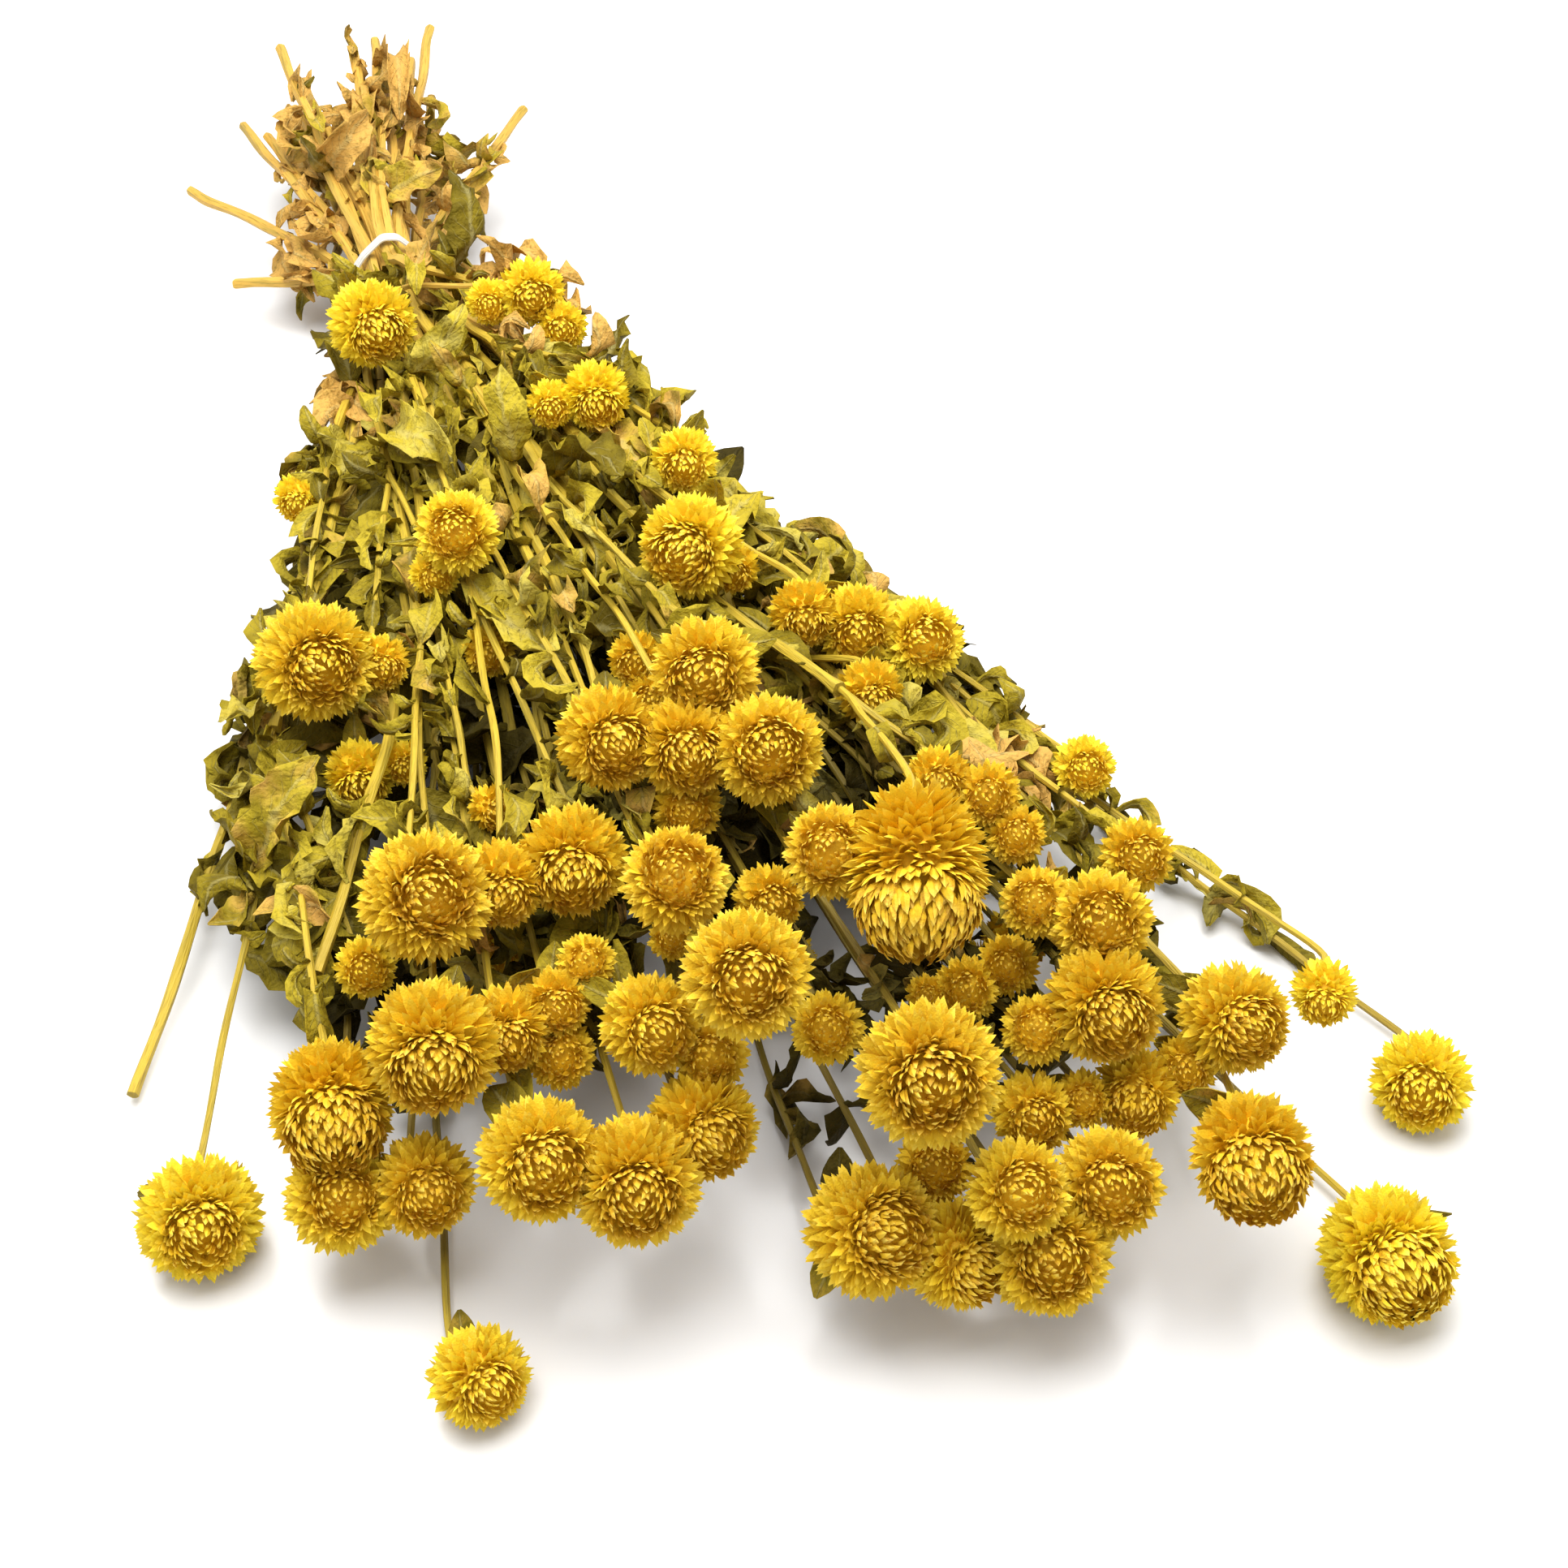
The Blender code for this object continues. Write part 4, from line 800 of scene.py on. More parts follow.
def arm_course(fork, heading, stations, carried, end):
    """Points of an arm from its fork through every station, and its direction at the last one."""
    course = []
    before, leaving = fork, heading
    for i, station in enumerate(stations):
        size = np.linalg.norm(station - before)
        if i + 1 < len(stations):
            arriving = unit(stations[i + 1] - before)
        elif carried:
            arriving = unit(end - station)
        else:
            arriving = unit(station - before)
        steps = 1 if len(stations) > 1 and size < LONG_WAY else 2
        course += curve(before, leaving * size, station, arriving * size, steps)[1:]
        before, leaving = station, arriving
    return course, leaving


def twig_course(start, leaving, head):
    """Points of a twig on its way to a head, and its two last ones, straight behind the head."""
    stop = seat(head)
    approach = stop - head["axis"] * STRAIGHT_END
    size = np.linalg.norm(approach - start)
    steps = 2 if size < LONG_TWIG else 3
    course = curve(start, leaving * size, approach, head["axis"] * size * ARRIVAL, steps)
    return course[1:-1], (approach, stop)


print("stems keep", round(LOWEST_STEM, 2), "mm from middle to table")

# %% Pack the stalks in the neck
OWN_STALKS_APART = 1.1
NECK_PUSH = 0.35
NECK_DRAW = 0.997


def pack_neck(targets, sprays):
    """Places of the stalks in the neck's section: packed round, a spray's own stalks joined."""
    fan = []
    for target in targets:
        run = math.hypot(target[0], target[1])
        across = math.atan2(target[0], -target[1]) * FAN_ACROSS
        fan.append((across, (target[2] - NECK_HEIGHT) / run * FAN_UP))
    disc = np.array(fan)
    disc -= disc.mean(axis=0)
    first, second = np.triu_indices(len(disc), 1)
    own = sprays[first] == sprays[second]
    need = np.where(own, OWN_STALKS_APART * MAIN_RADIUS, 2.0 * MAIN_RADIUS + CLEARANCE)
    chain = own & (second == first + 1)
    for step in range(NECK_STEPS):
        apart = disc[first] - disc[second]
        far = np.maximum(np.linalg.norm(apart, axis=1), 1e-6)
        gain = np.where(need > far, NECK_PUSH * (need - far), 0.0)
        gain = np.where(chain & (far > need), NECK_PUSH * (need - far), gain)
        move = apart / far[:, None] * gain[:, None]
        np.add.at(disc, first, move)
        np.add.at(disc, second, -move)
        if step < NECK_STEPS - NECK_FREE_STEPS:
            disc *= NECK_DRAW
    return disc


print("a spray's own stalks stand", round(OWN_STALKS_APART * MAIN_RADIUS, 2), "mm apart")

# %% Lay the stems
def lay_stems(heads):
    """Route every stem from its cut end through the neck, fork by fork, to its heads.

    Two neighbouring stalks of a spray share one main stem. Returns the points, whether each may
    move, the runs (a spray's number, a kind and point numbers) and the packed neck section.
    """
    mains = []
    for number, stalks in enumerate(SPRAYS.values()):
        for pair in (stalks[:2], stalks[2:]):
            ends = [[seat(heads[h]) for h in carried] or [place(*way[-1])] for carried, way in pair]
            ends = [np.mean(end, axis=0) for end in ends]
            mains.append((number, pair, ends))
    targets = [np.mean(ends, axis=0) for number, pair, ends in mains]
    disc = pack_neck(targets, np.array([number for number, pair, ends in mains]))
    points, free, runs = [], [], []

    def add(point, loose):
        points.append(np.array(point, float))
        free.append(1.0 if loose else 0.0)
        return len(points) - 1

    chance = random.Random(11)
    forward = np.array((0.0, -1.0, 0.0))
    sprays = list(SPRAYS)
    for turn, ((number, pair, ends), (across, above)) in enumerate(zip(mains, disc)):
        neck = np.array((across, 0.0, NECK_HEIGHT + above))
        start = neck + forward * TIED
        finish_tied = neck - forward * TIED
        butt = cut_end((sprays[number], turn % 2), across, above, chance)
        reached = []
        for (carried, way), end in zip(pair, ends):
            reached.append([place(*w) for w in way] or [start + (end - start) * STATION_SHARE])
        middle = np.mean([stations[0] for stations in reached], axis=0)
        fork = start + (middle - start) * FORK_SHARE
        heading = unit(middle - start)
        size = np.linalg.norm(fork - start)
        rise_to_fork = curve(start, forward * size, fork, heading * size, 2)[1:]
        index = [add(butt, True), add(finish_tied, False), add(start, False)]
        index += [add(p, True) for p in rise_to_fork]
        runs.append((number, "main", index))
        for (carried, way), end, stations in zip(pair, ends, reached):
            course, leaving = arm_course(fork, heading, stations, carried, end)
            arm = [index[-1]] + [add(p, True) for p in course]
            runs.append((number, "arm", arm))
            for h in carried:
                course, last = twig_course(stations[-1], leaving, heads[h])
                twig = [arm[-1]] + [add(p, True) for p in course] + [add(p, False) for p in last]
                runs.append((number, h, twig))
    return np.array(points), np.array(free), runs, disc


points, free, runs, disc = lay_stems(heads)
print(len(runs), "stretches of stem through", len(points), "points")

# %% [markdown]
# For the pushes each stretch is a chain of straight pieces, and each head is a ball or two. Two of
# them are compared where they come closest. If they are too close there, each piece moves away, and
# the end that is nearer to the place moves more.

# %% How straight pieces push one another
def segments(runs):
    """Start, end, radius, spray and head of every straight piece of the runs."""
    rows = []
    names = {}
    for number, kind, index in runs:
        radius = RADII.get(kind, BRANCH_RADIUS)
        for a, b in zip(index, index[1:]):
            rows.append((a, b, radius, number, names.setdefault(kind, len(names))))
    return rows, names


def closest(p, u, q, v):
    """Where two straight pieces come closest: their shares along, and the gap as a vector."""
    w = p - q
    a = (u * u).sum(1)
    b = (u * v).sum(1)
    c = (v * v).sum(1)
    d = (u * w).sum(1)
    e = (v * w).sum(1)
    det = np.maximum(a * c - b * b, 1e-9)
    s = np.clip((b * e - c * d) / det, 0.0, 1.0)
    t = np.clip((b * s + e) / np.maximum(c, 1e-9), 0.0, 1.0)
    s = np.clip((b * t - d) / np.maximum(a, 1e-9), 0.0, 1.0)
    return s, t, w + s[:, None] * u - t[:, None] * v


def nearest(p, u, spot):
    """Where a straight piece comes closest to a place: the share along, and the gap as a vector."""
    t = np.clip(((spot - p) * u).sum(1) / np.maximum((u * u).sum(1), 1e-9), 0.0, 1.0)
    return t, p + t[:, None] * u - spot


def widen(gap, room, strength):
    """Which gaps are shorter than the room they need, and for these the push that widens them."""
    far = np.linalg.norm(gap, axis=1)
    over = room - far
    hit = over > 0
    return hit, gap[hit] / np.maximum(far[hit], 1e-6)[:, None] * over[hit, None] * strength


def push_ends(push, start, end, share, move):
    """Give each end of the straight pieces its share of a push on a place between them."""
    np.add.at(push, start, move * (1 - share)[:, None])
    np.add.at(push, end, move * share[:, None])


print(len(segments(runs)[0]), "straight pieces of stem")

# %% Push the stems apart
STEM_PUSH = 0.4
HEAD_STEM_PUSH = 0.5
SMOOTHING = 0.12
STEM_HOMING = 0.01
LOOK_EVERY = 8


def relax_stems(points, free, runs, heads):
    """Push stems of different sprays apart and out of the heads, and keep their courses smooth."""
    rows, kinds = segments(runs)
    a, b, radius, spray, kind = (np.array(column) for column in zip(*rows))
    filled = [(name, head, along) for name, head in heads.items() for along in ball_places(head)]
    balls = np.array([head["centre"] + head["axis"] * along for name, head, along in filled])
    sizes = np.array([head["width"] / 2.0 for name, head, along in filled])
    owner = np.array([kinds.get(name, -1) for name, head, along in filled])
    first, second = np.triu_indices(len(a), 1)
    tied = (free[a] == 0) | (free[b] == 0)
    shared = (a[first] == a[second]) | (a[first] == b[second])
    shared |= (b[first] == a[second]) | (b[first] == b[second])
    joined = (spray[first] == spray[second]) & (shared | (tied[first] & tied[second]))
    first, second = first[~joined], second[~joined]
    piece = np.repeat(np.arange(len(a)), len(balls))
    ball = np.tile(np.arange(len(balls)), len(a))
    near_own = (owner[ball] == kind[piece]) & tied[piece]
    piece, ball = piece[~near_own], ball[~near_own]
    home = points.copy()
    for step in range(STEM_STEPS):
        start, along = points[a], points[b] - points[a]
        if step % LOOK_EVERY == 0:
            middle = (points[a] + points[b]) / 2.0
            half = np.linalg.norm(along, axis=1) / 2.0
            apart = np.linalg.norm(middle[first] - middle[second], axis=1)
            near = apart < half[first] + half[second] + NEARBY
            f, g = first[near], second[near]
            apart = np.linalg.norm(middle[piece] - balls[ball], axis=1)
            near = apart < half[piece] + sizes[ball] + NEARBY
            h, k = piece[near], ball[near]
        push = np.zeros_like(points)
        s, t, gap = closest(start[f], along[f], start[g], along[g])
        hit, move = widen(gap, radius[f] + radius[g] + CLEARANCE, STEM_PUSH)
        push_ends(push, a[f][hit], b[f][hit], s[hit], move)
        push_ends(push, a[g][hit], b[g][hit], t[hit], -move)
        t, gap = nearest(start[h], along[h], balls[k])
        hit, move = widen(gap, radius[h] + sizes[k] + CLEARANCE, HEAD_STEM_PUSH)
        push_ends(push, a[h][hit], b[h][hit], t[hit], move)
        if step < STEM_STEPS - STEM_FREE_STEPS:
            for number, name, index in runs:
                line = points[index]
                push[index[1:-1]] += SMOOTHING * ((line[:-2] + line[2:]) / 2.0 - line[1:-1])
            push += STEM_HOMING * (home - points)
        size = np.linalg.norm(push, axis=1)
        push *= np.minimum(1.0, STRIDE / np.maximum(size, 1e-9))[:, None]
        points = points + push * free[:, None]
        points[:, 2] = np.maximum(points[:, 2], np.where(free > 0, LOWEST_STEM, points[:, 2]))
    return points


points = relax_stems(points, free, runs, heads)
print("stems settled")

# %% [markdown]
# The plan's origin lies below the neck, and the model's lies below the middle of its box. The
# elastic band is in both, so its place in the two tells how far the plan must be shifted.

# %% From the plan to the model
def band_outline(disc, room, corners):
    """The outline of a band stretched round the packed stalks, as points across and up."""
    angles = [math.tau * k / corners for k in range(corners)]
    support = [max(disc @ np.array((math.cos(a), math.sin(a)))) + room for a in angles]
    outline = []
    for k in range(corners):
        a, b = angles[k], angles[(k + 1) % corners]
        p, q = support[k], support[(k + 1) % corners]
        turn = math.sin(b - a)
        x = (p * math.sin(b) - q * math.sin(a)) / turn
        y = (q * math.cos(a) - p * math.cos(b)) / turn
        outline.append((x, y))
    return np.array(outline)


band_room = MAIN_RADIUS + CLEARANCE + BAND_THICKNESS
rim = band_outline(disc, band_room, BAND_CORNERS)
low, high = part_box("elastic_band")
SHIFT = np.array((low.x / MM - rim[:, 0].min(), (low.y + high.y) / 2.0 / MM, 0.0))
print("the neck is at", np.round(SHIFT, 2), "mm in the model")

# %% [markdown]
# ## The camera
#
# The camera stands where the picture's eye stood, so it needs no fitting: its place is the eye
# moved by the same shift, and its three axes are the picture's right, up and backward.

# %% The camera
PICTURE_SIDE = 1932.0
SENSOR = 36.0
lens = bpy.data.cameras.new("picture_camera")
lens.sensor_width = SENSOR
lens.lens = LENS / PICTURE_SIDE * SENSOR
lens.clip_end = 20.0
camera = bpy.data.objects.new("picture_camera", lens)
bpy.context.scene.collection.objects.link(camera)
turned = Matrix((RIGHT, UP, -FORWARD)).transposed().to_4x4()
camera.matrix_world = Matrix.Translation(Vector((EYE + SHIFT) * MM)) @ turned
bpy.context.scene.camera = camera
print("lens", round(lens.lens, 1), "mm at", [round(c, 3) for c in camera.location])

# %% [markdown]
# ## Where the leaves grow
#
# Candidates come by seeded draws: a few tries for each large leaf in the picture, and round after
# round of smaller ones. A leaf is its root, its directions there, its length and how it bends, and
# its middle line follows from these.

# %% A leaf on the plan
OUTWARD_BIAS = 0.4
OUTWARD_RISE = 0.01


def new_leaf(root, heading, side, length, **looks):
    """A leaf: its root, its directions ahead, across and above, its length and its looks."""
    return {"root": root, "frame": (heading, side, np.cross(side, heading)), "length": length, **looks}


def outward_from(root, stem, turned):
    """The direction away from a stem and from the bunch's middle, turned round the stem."""
    outward = root - np.array((root[0] * OUTWARD_BIAS, root[1], NECK_HEIGHT))
    outward = unit(outward - stem * (outward @ stem) + np.array((0.0, 0.0, OUTWARD_RISE)))
    return math.cos(turned) * outward + math.sin(turned) * np.cross(stem, outward)


def stations_of(leaf):
    """In how many straight steps a leaf of the solids is bent."""
    return 4 if leaf["length"] > LONG_LEAF else 3


def spine(leaf, stations):
    """The middle line of a leaf and the directions across and above it, station by station."""
    ahead, side, top = leaf["frame"]
    line, sides, tops = [leaf["root"]], [side], [top]
    bend, roll = leaf["curl"] / stations, leaf["twist"] / stations
    for step in range(stations):
        line.append(line[-1] + ahead * leaf["length"] / stations)
        turned = math.cos(bend) * ahead + math.sin(bend) * top
        top = math.cos(bend) * top - math.sin(bend) * ahead
        ahead = turned
        rolled = math.cos(roll) * side + math.sin(roll) * top
        top = math.cos(roll) * top - math.sin(roll) * side
        side = rolled
        sides.append(side)
        tops.append(top)
    return np.array(line), np.array(sides), np.array(tops)


print("a leaf over", LONG_LEAF, "mm is bent in four steps, a shorter one in three")

# %% Large leaves
def large_leaves(points, runs):
    """The leaves that the picture places: for each its spray and several ways to curl."""
    chance = random.Random(8)
    for number, spray in enumerate(SPRAYS):
        lines = [points[index] for n, kind, index in runs if n == number and kind in RADII]
        starts = np.vstack([line[:-1] for line in lines])
        steps = np.vstack([line[1:] - line[:-1] for line in lines])
        for root, tip, width in LARGE_LEAVES.get(spray, []):
            near, tip = place(*root), place(*tip)
            share = np.clip(((near - starts) * steps).sum(1) / (steps * steps).sum(1), 0.05, 0.95)
            spots = starts + share[:, None] * steps
            root = spots[np.argmin(np.linalg.norm(spots - near, axis=1))]
            size = min(np.linalg.norm(tip - root), LONGEST_REACH * np.linalg.norm(tip - near))
            towards = unit(tip - root)
            tries = []
            for turn in range(LEAF_TRIES):
                curl = chance.choice((-1.0, 1.0)) * chance.uniform(0.4, 2.4)
                lean = chance.gauss(0.0, 0.1 + 0.012 * turn)
                above = unit(np.array((chance.gauss(0.0, 0.5), -0.3, 1.0)))
                ahead = unit(towards + above * lean)
                side = unit(np.cross(ahead, above))
                top = np.cross(side, ahead)
                start = math.cos(curl / 2.0) * ahead - math.sin(curl / 2.0) * top
                length = size * (curl / 2.0) / math.sin(curl / 2.0)
                tries.append(new_leaf(root, start, side, length,
                                      width=width,
                                      curl=curl,
                                      twist=chance.uniform(-1.0, 1.0),
                                      wave=chance.uniform(0.6, 2.0),
                                      fold=chance.uniform(0.1, 0.6)))
            yield number, tries


print(LEAF_TRIES, "tries for every large leaf")

# %% Smaller leaves
def small_leaves(points, runs):
    """More leaves along the stems, round after round, by seeded draws."""
    chance = random.Random(5)
    stems = [(number, index) for number, kind, index in runs if kind in RADII]
    for repeat in range(LEAF_ROUNDS):
        for number, index in stems:
            line = points[index]
            at = chance.uniform(0.02, 0.98) * (len(line) - 1)
            low = int(at)
            root = line[low] + (line[low + 1] - line[low]) * (at - low)
            stem = unit(line[low + 1] - line[low])
            outward = outward_from(root, stem, chance.gauss(0.0, 0.9))
            opening = math.radians(chance.uniform(15.0, 65.0))
            ahead = math.cos(opening) * stem + math.sin(opening) * outward
            side = unit(np.cross(ahead, outward))
            length = chance.uniform(*LEAF_LENGTHS)
            yield number, [new_leaf(root, ahead, side, length,
                                    width=length * chance.uniform(*LEAF_WIDTHS),
                                    curl=chance.choice((-1.0, -1.0, 1.0)) * chance.uniform(0.8, 3.2),
                                    twist=chance.uniform(-1.4, 1.4),
                                    wave=chance.uniform(0.6, 2.2),
                                    fold=chance.uniform(0.1, 0.7))]


print(LEAF_ROUNDS, "rounds of smaller leaves")

# %% [markdown]
# The solids kept the candidates that had room. A leaf's tip is a corner of its solid, so one that
# was kept is known by its tip, which a search tree finds at once. Two tips moved when the solids
# were fused, so two of the leaves aren't found again.

# %% Which leaves the solids kept
TIP_MATCH = 0.05


def kept_leaves():
    """The leaves of the solids, as pairs of a spray's number and the leaf."""
    trees = []
    for name in SPRAYS:
        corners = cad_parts["stems_" + name].data.vertices
        search = KDTree(len(corners))
        for i, corner in enumerate(corners):
            search.insert(corner.co, i)
        search.balance()
        trees.append(search)
    kept = []
    for number, tries in itertools.chain(large_leaves(points, runs), small_leaves(points, runs)):
        for leaf in tries:
            tip = spine(leaf, stations_of(leaf))[0][-1]
            off = trees[number].find(Vector((tip + SHIFT) * MM))[2]
            if off < TIP_MATCH * MM:
                kept.append((number, leaf))
                break
        if len(kept) == LEAF_COUNT:
            break
    return kept


leaves = kept_leaves()
print(len(leaves), "leaves found again of", LEAF_COUNT)

# %% [markdown]
# ## From many small shapes to one mesh
#
# A flower head has several hundred bracts. Each could be its own object, but one mesh per cluster
# is lighter and exports as one piece. The class below gathers corners, triangles and any numbers
# that the material will read, presses what would sink through the table flat on it, keeps the
# piece inside the model's box, and hands it to the frame in place of the nodes that it dresses.

# %% Gather shapes and make a piece
PRESS = 0.6
SHARP = math.radians(38.0)


class Gather:
    """Corners, triangles and stored numbers of many small shapes, to become one mesh."""

    def __init__(self):
        self.corners = []
        self.faces = []
        self.stored = {}
        self.count = 0

    def add(self, corners, faces, numbers):
        self.corners.append(corners)
        self.faces.append(np.asarray(faces) + self.count)
        self.count += len(corners)
        for name, value in numbers.items():
            value = np.asarray(value, float)
            if value.ndim < 2:
                value = np.broadcast_to(value, (len(corners),))
            self.stored.setdefault(name, []).append(value)

    def piece(self, name, material, slot, *nodes, sharp=SHARP):
        corners = np.vstack(self.corners) + SHIFT
        sunk = corners[:, 2] < PRESS
        corners[sunk, 2] = PRESS * np.exp((corners[sunk, 2] - PRESS) / PRESS)
        corners = np.clip(corners * MM, CAD_BOX[0], CAD_BOX[1])
        faces = np.vstack(self.faces)
        mesh = bpy.data.meshes.new(name)
        mesh.vertices.add(len(corners))
        mesh.vertices.foreach_set("co", corners.ravel())
        mesh.loops.add(faces.size)
        mesh.loops.foreach_set("vertex_index", faces.ravel())
        mesh.polygons.add(len(faces))
        mesh.polygons.foreach_set("loop_start", np.arange(0, faces.size, 3))
        mesh.update(calc_edges=True)
        for key, values in self.stored.items():
            values = np.concatenate(values)
            kind, field = ("FLOAT", "value") if values.ndim == 1 else ("FLOAT_VECTOR", "vector")
            mesh.attributes.new(key, kind, "POINT").data.foreach_set(field, values.ravel())
        mesh.shade_smooth()
        mesh.set_sharp_from_angle(angle=sharp)
        mesh.materials.append(material)
        thing = bpy.data.objects.new(name, mesh)
        bpy.context.scene.collection.objects.link(thing)
        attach(thing, "root")
        if nodes:
            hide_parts(*nodes)
        return thing


print("sharp above", round(math.degrees(SHARP)), "degrees")

# %% Triangles and tubes
def triangles(quads):
    """Two triangles for each quad."""
    quads = np.asarray(quads)
    return np.vstack((quads[:, (0, 1, 2)], quads[:, (0, 2, 3)]))


def tube_quads(rings, sides, first=0, closed=False):
    """The quads between a tube's rings, when its corners are counted ring by ring from the first."""
    quads = []
    for i in range(rings if closed else rings - 1):
        here = first + i * sides
        there = first + (i + 1) % rings * sides
        for k in range(sides):
            n = (k + 1) % sides
            quads.append((here + k, there + k, there + n, here + n))
    return np.array(quads)


print("a tube of 3 rings with 10 sides has", len(triangles(tube_quads(3, 10))), "triangles")

# %% [markdown]
# ## The flower heads
#
# A head is a dense spiral of stiff, papery, keeled bracts. Round the tip they stand almost upright and
# curl in, like a bud; further down they lean out, and the lowest lie flat and open in a
# pointed rim. So one bract is modelled once, as a thin closed dart folded along its keel, and
# set again and again with the golden angle. Its lean, curl, length and width follow from how far
# from the tip it stands, and its point always ends on the head's own outline.

# %% One bract
BRACT_WIDE_AT, BRACT_NARROW_AT = 0.48, 0.79
BRACT_NARROW = 0.66
BRACT_KEEL = 0.55
BRACT_SHEET = 0.22


def bract_template():
    """Corners as shares (along, across, out), the faces, and which corners are inside the fold."""
    narrow_keel = BRACT_KEEL * BRACT_NARROW
    shares = [
        (0.0, 0.0, 0.0),
        (BRACT_WIDE_AT, -1.0, 0.0),
        (BRACT_WIDE_AT, 0.0, BRACT_KEEL),
        (BRACT_WIDE_AT, 1.0, 0.0),
        (BRACT_WIDE_AT, 0.0, BRACT_KEEL),
        (BRACT_NARROW_AT, -BRACT_NARROW, 0.0),
        (BRACT_NARROW_AT, 0.0, narrow_keel),
        (BRACT_NARROW_AT, BRACT_NARROW, 0.0),
        (1.0, 0.0, 0.0),
    ]
    root = [(2, 1, 0), (3, 2, 0), (4, 3, 0), (1, 4, 0)]
    outside = [(1, 2, 6), (1, 6, 5), (2, 3, 7), (2, 7, 6)]
    inside = [(3, 4, 7), (4, 1, 5), (4, 5, 7)]
    point = [(5, 6, 8), (6, 7, 8), (7, 5, 8)]
    inner = np.zeros(len(shares))
    inner[4] = 1.0
    return np.array(shares), np.array(root + outside + inside + point), inner


SHARES, BRACT_FACES, INNER = bract_template()
print("a bract has", len(BRACT_FACES), "triangles")

# %% [markdown]
# The tables below say how the bracts change from the head's tip to its base.

# %% How bracts change from the tip to the base
FEWEST_BRACTS = 90
BRACTS_PER_AREA = 3.4
FIRST_BRACT, LAST_BRACT = 2.0, 156.0
# By the angle from the head's tip: how closely the bracts stand, how one leans at its base and at
# its point, and its length and half width as shares of the head's half width.
BRACT_ANGLES = (0, 15, 28, 40, 52, 72, 110, 156)
BRACT_CROWDS = (0.6, 2.4, 4.4, 5.8, 5.8, 5.0, 3.7, 1.2)
BASE_LEANS = (20, 25, 35, 45, 60, 72, 96, 140)
POINT_LEANS = (-45, -35, -10, 15, 60, 85, 120, 172)
BRACT_LENGTHS = (0.34, 0.36, 0.40, 0.45, 0.52, 0.56, 0.57, 0.52)
BRACT_WIDTHS = (0.036, 0.048, 0.060, 0.066, 0.070, 0.072, 0.072, 0.070)
LEAST_HALF_WIDTH = 0.22
OPEN_FROM, OPEN_TO = 32.0, 56.0
EGG_BUD = 60.0
BRACT_PLACES = np.linspace(FIRST_BRACT, LAST_BRACT, 200)
BRACT_SHARES = np.cumsum(np.interp(BRACT_PLACES, BRACT_ANGLES, BRACT_CROWDS))
BRACT_SHARES = BRACT_SHARES / BRACT_SHARES[-1]


def bract_count(radius, ratio):
    """How many bracts a head has, by its half width and its length by its width."""
    return int(BRACTS_PER_AREA * radius**2 * ratio) + FEWEST_BRACTS


print("a head 24 mm wide has", bract_count(12.0, 1.0), "bracts")

# %% [markdown]
# No two bracts are alike, so each number gets a small random share more or less. A bract's point is
# set on the head's outline first, and its curled sheet runs back from there to the core.

# %% Set the bracts on a head
GOLDEN_ANGLE = math.pi * (3.0 - math.sqrt(5.0))
# How much the bracts differ: in degrees round the tip, in radians, and as shares of their size.
POLAR_JITTER = 1.3
AROUND_JITTER = 0.08
LEAN_JITTER = 0.15
CURL_JITTER = 0.12
TWIST_JITTER = 0.38
LENGTH_RANGE = (0.88, 1.12)
WIDTH_RANGE = (0.85, 1.15)
REACH_RANGE = (0.95, 1.07)
STRAIGHTEST = 0.02


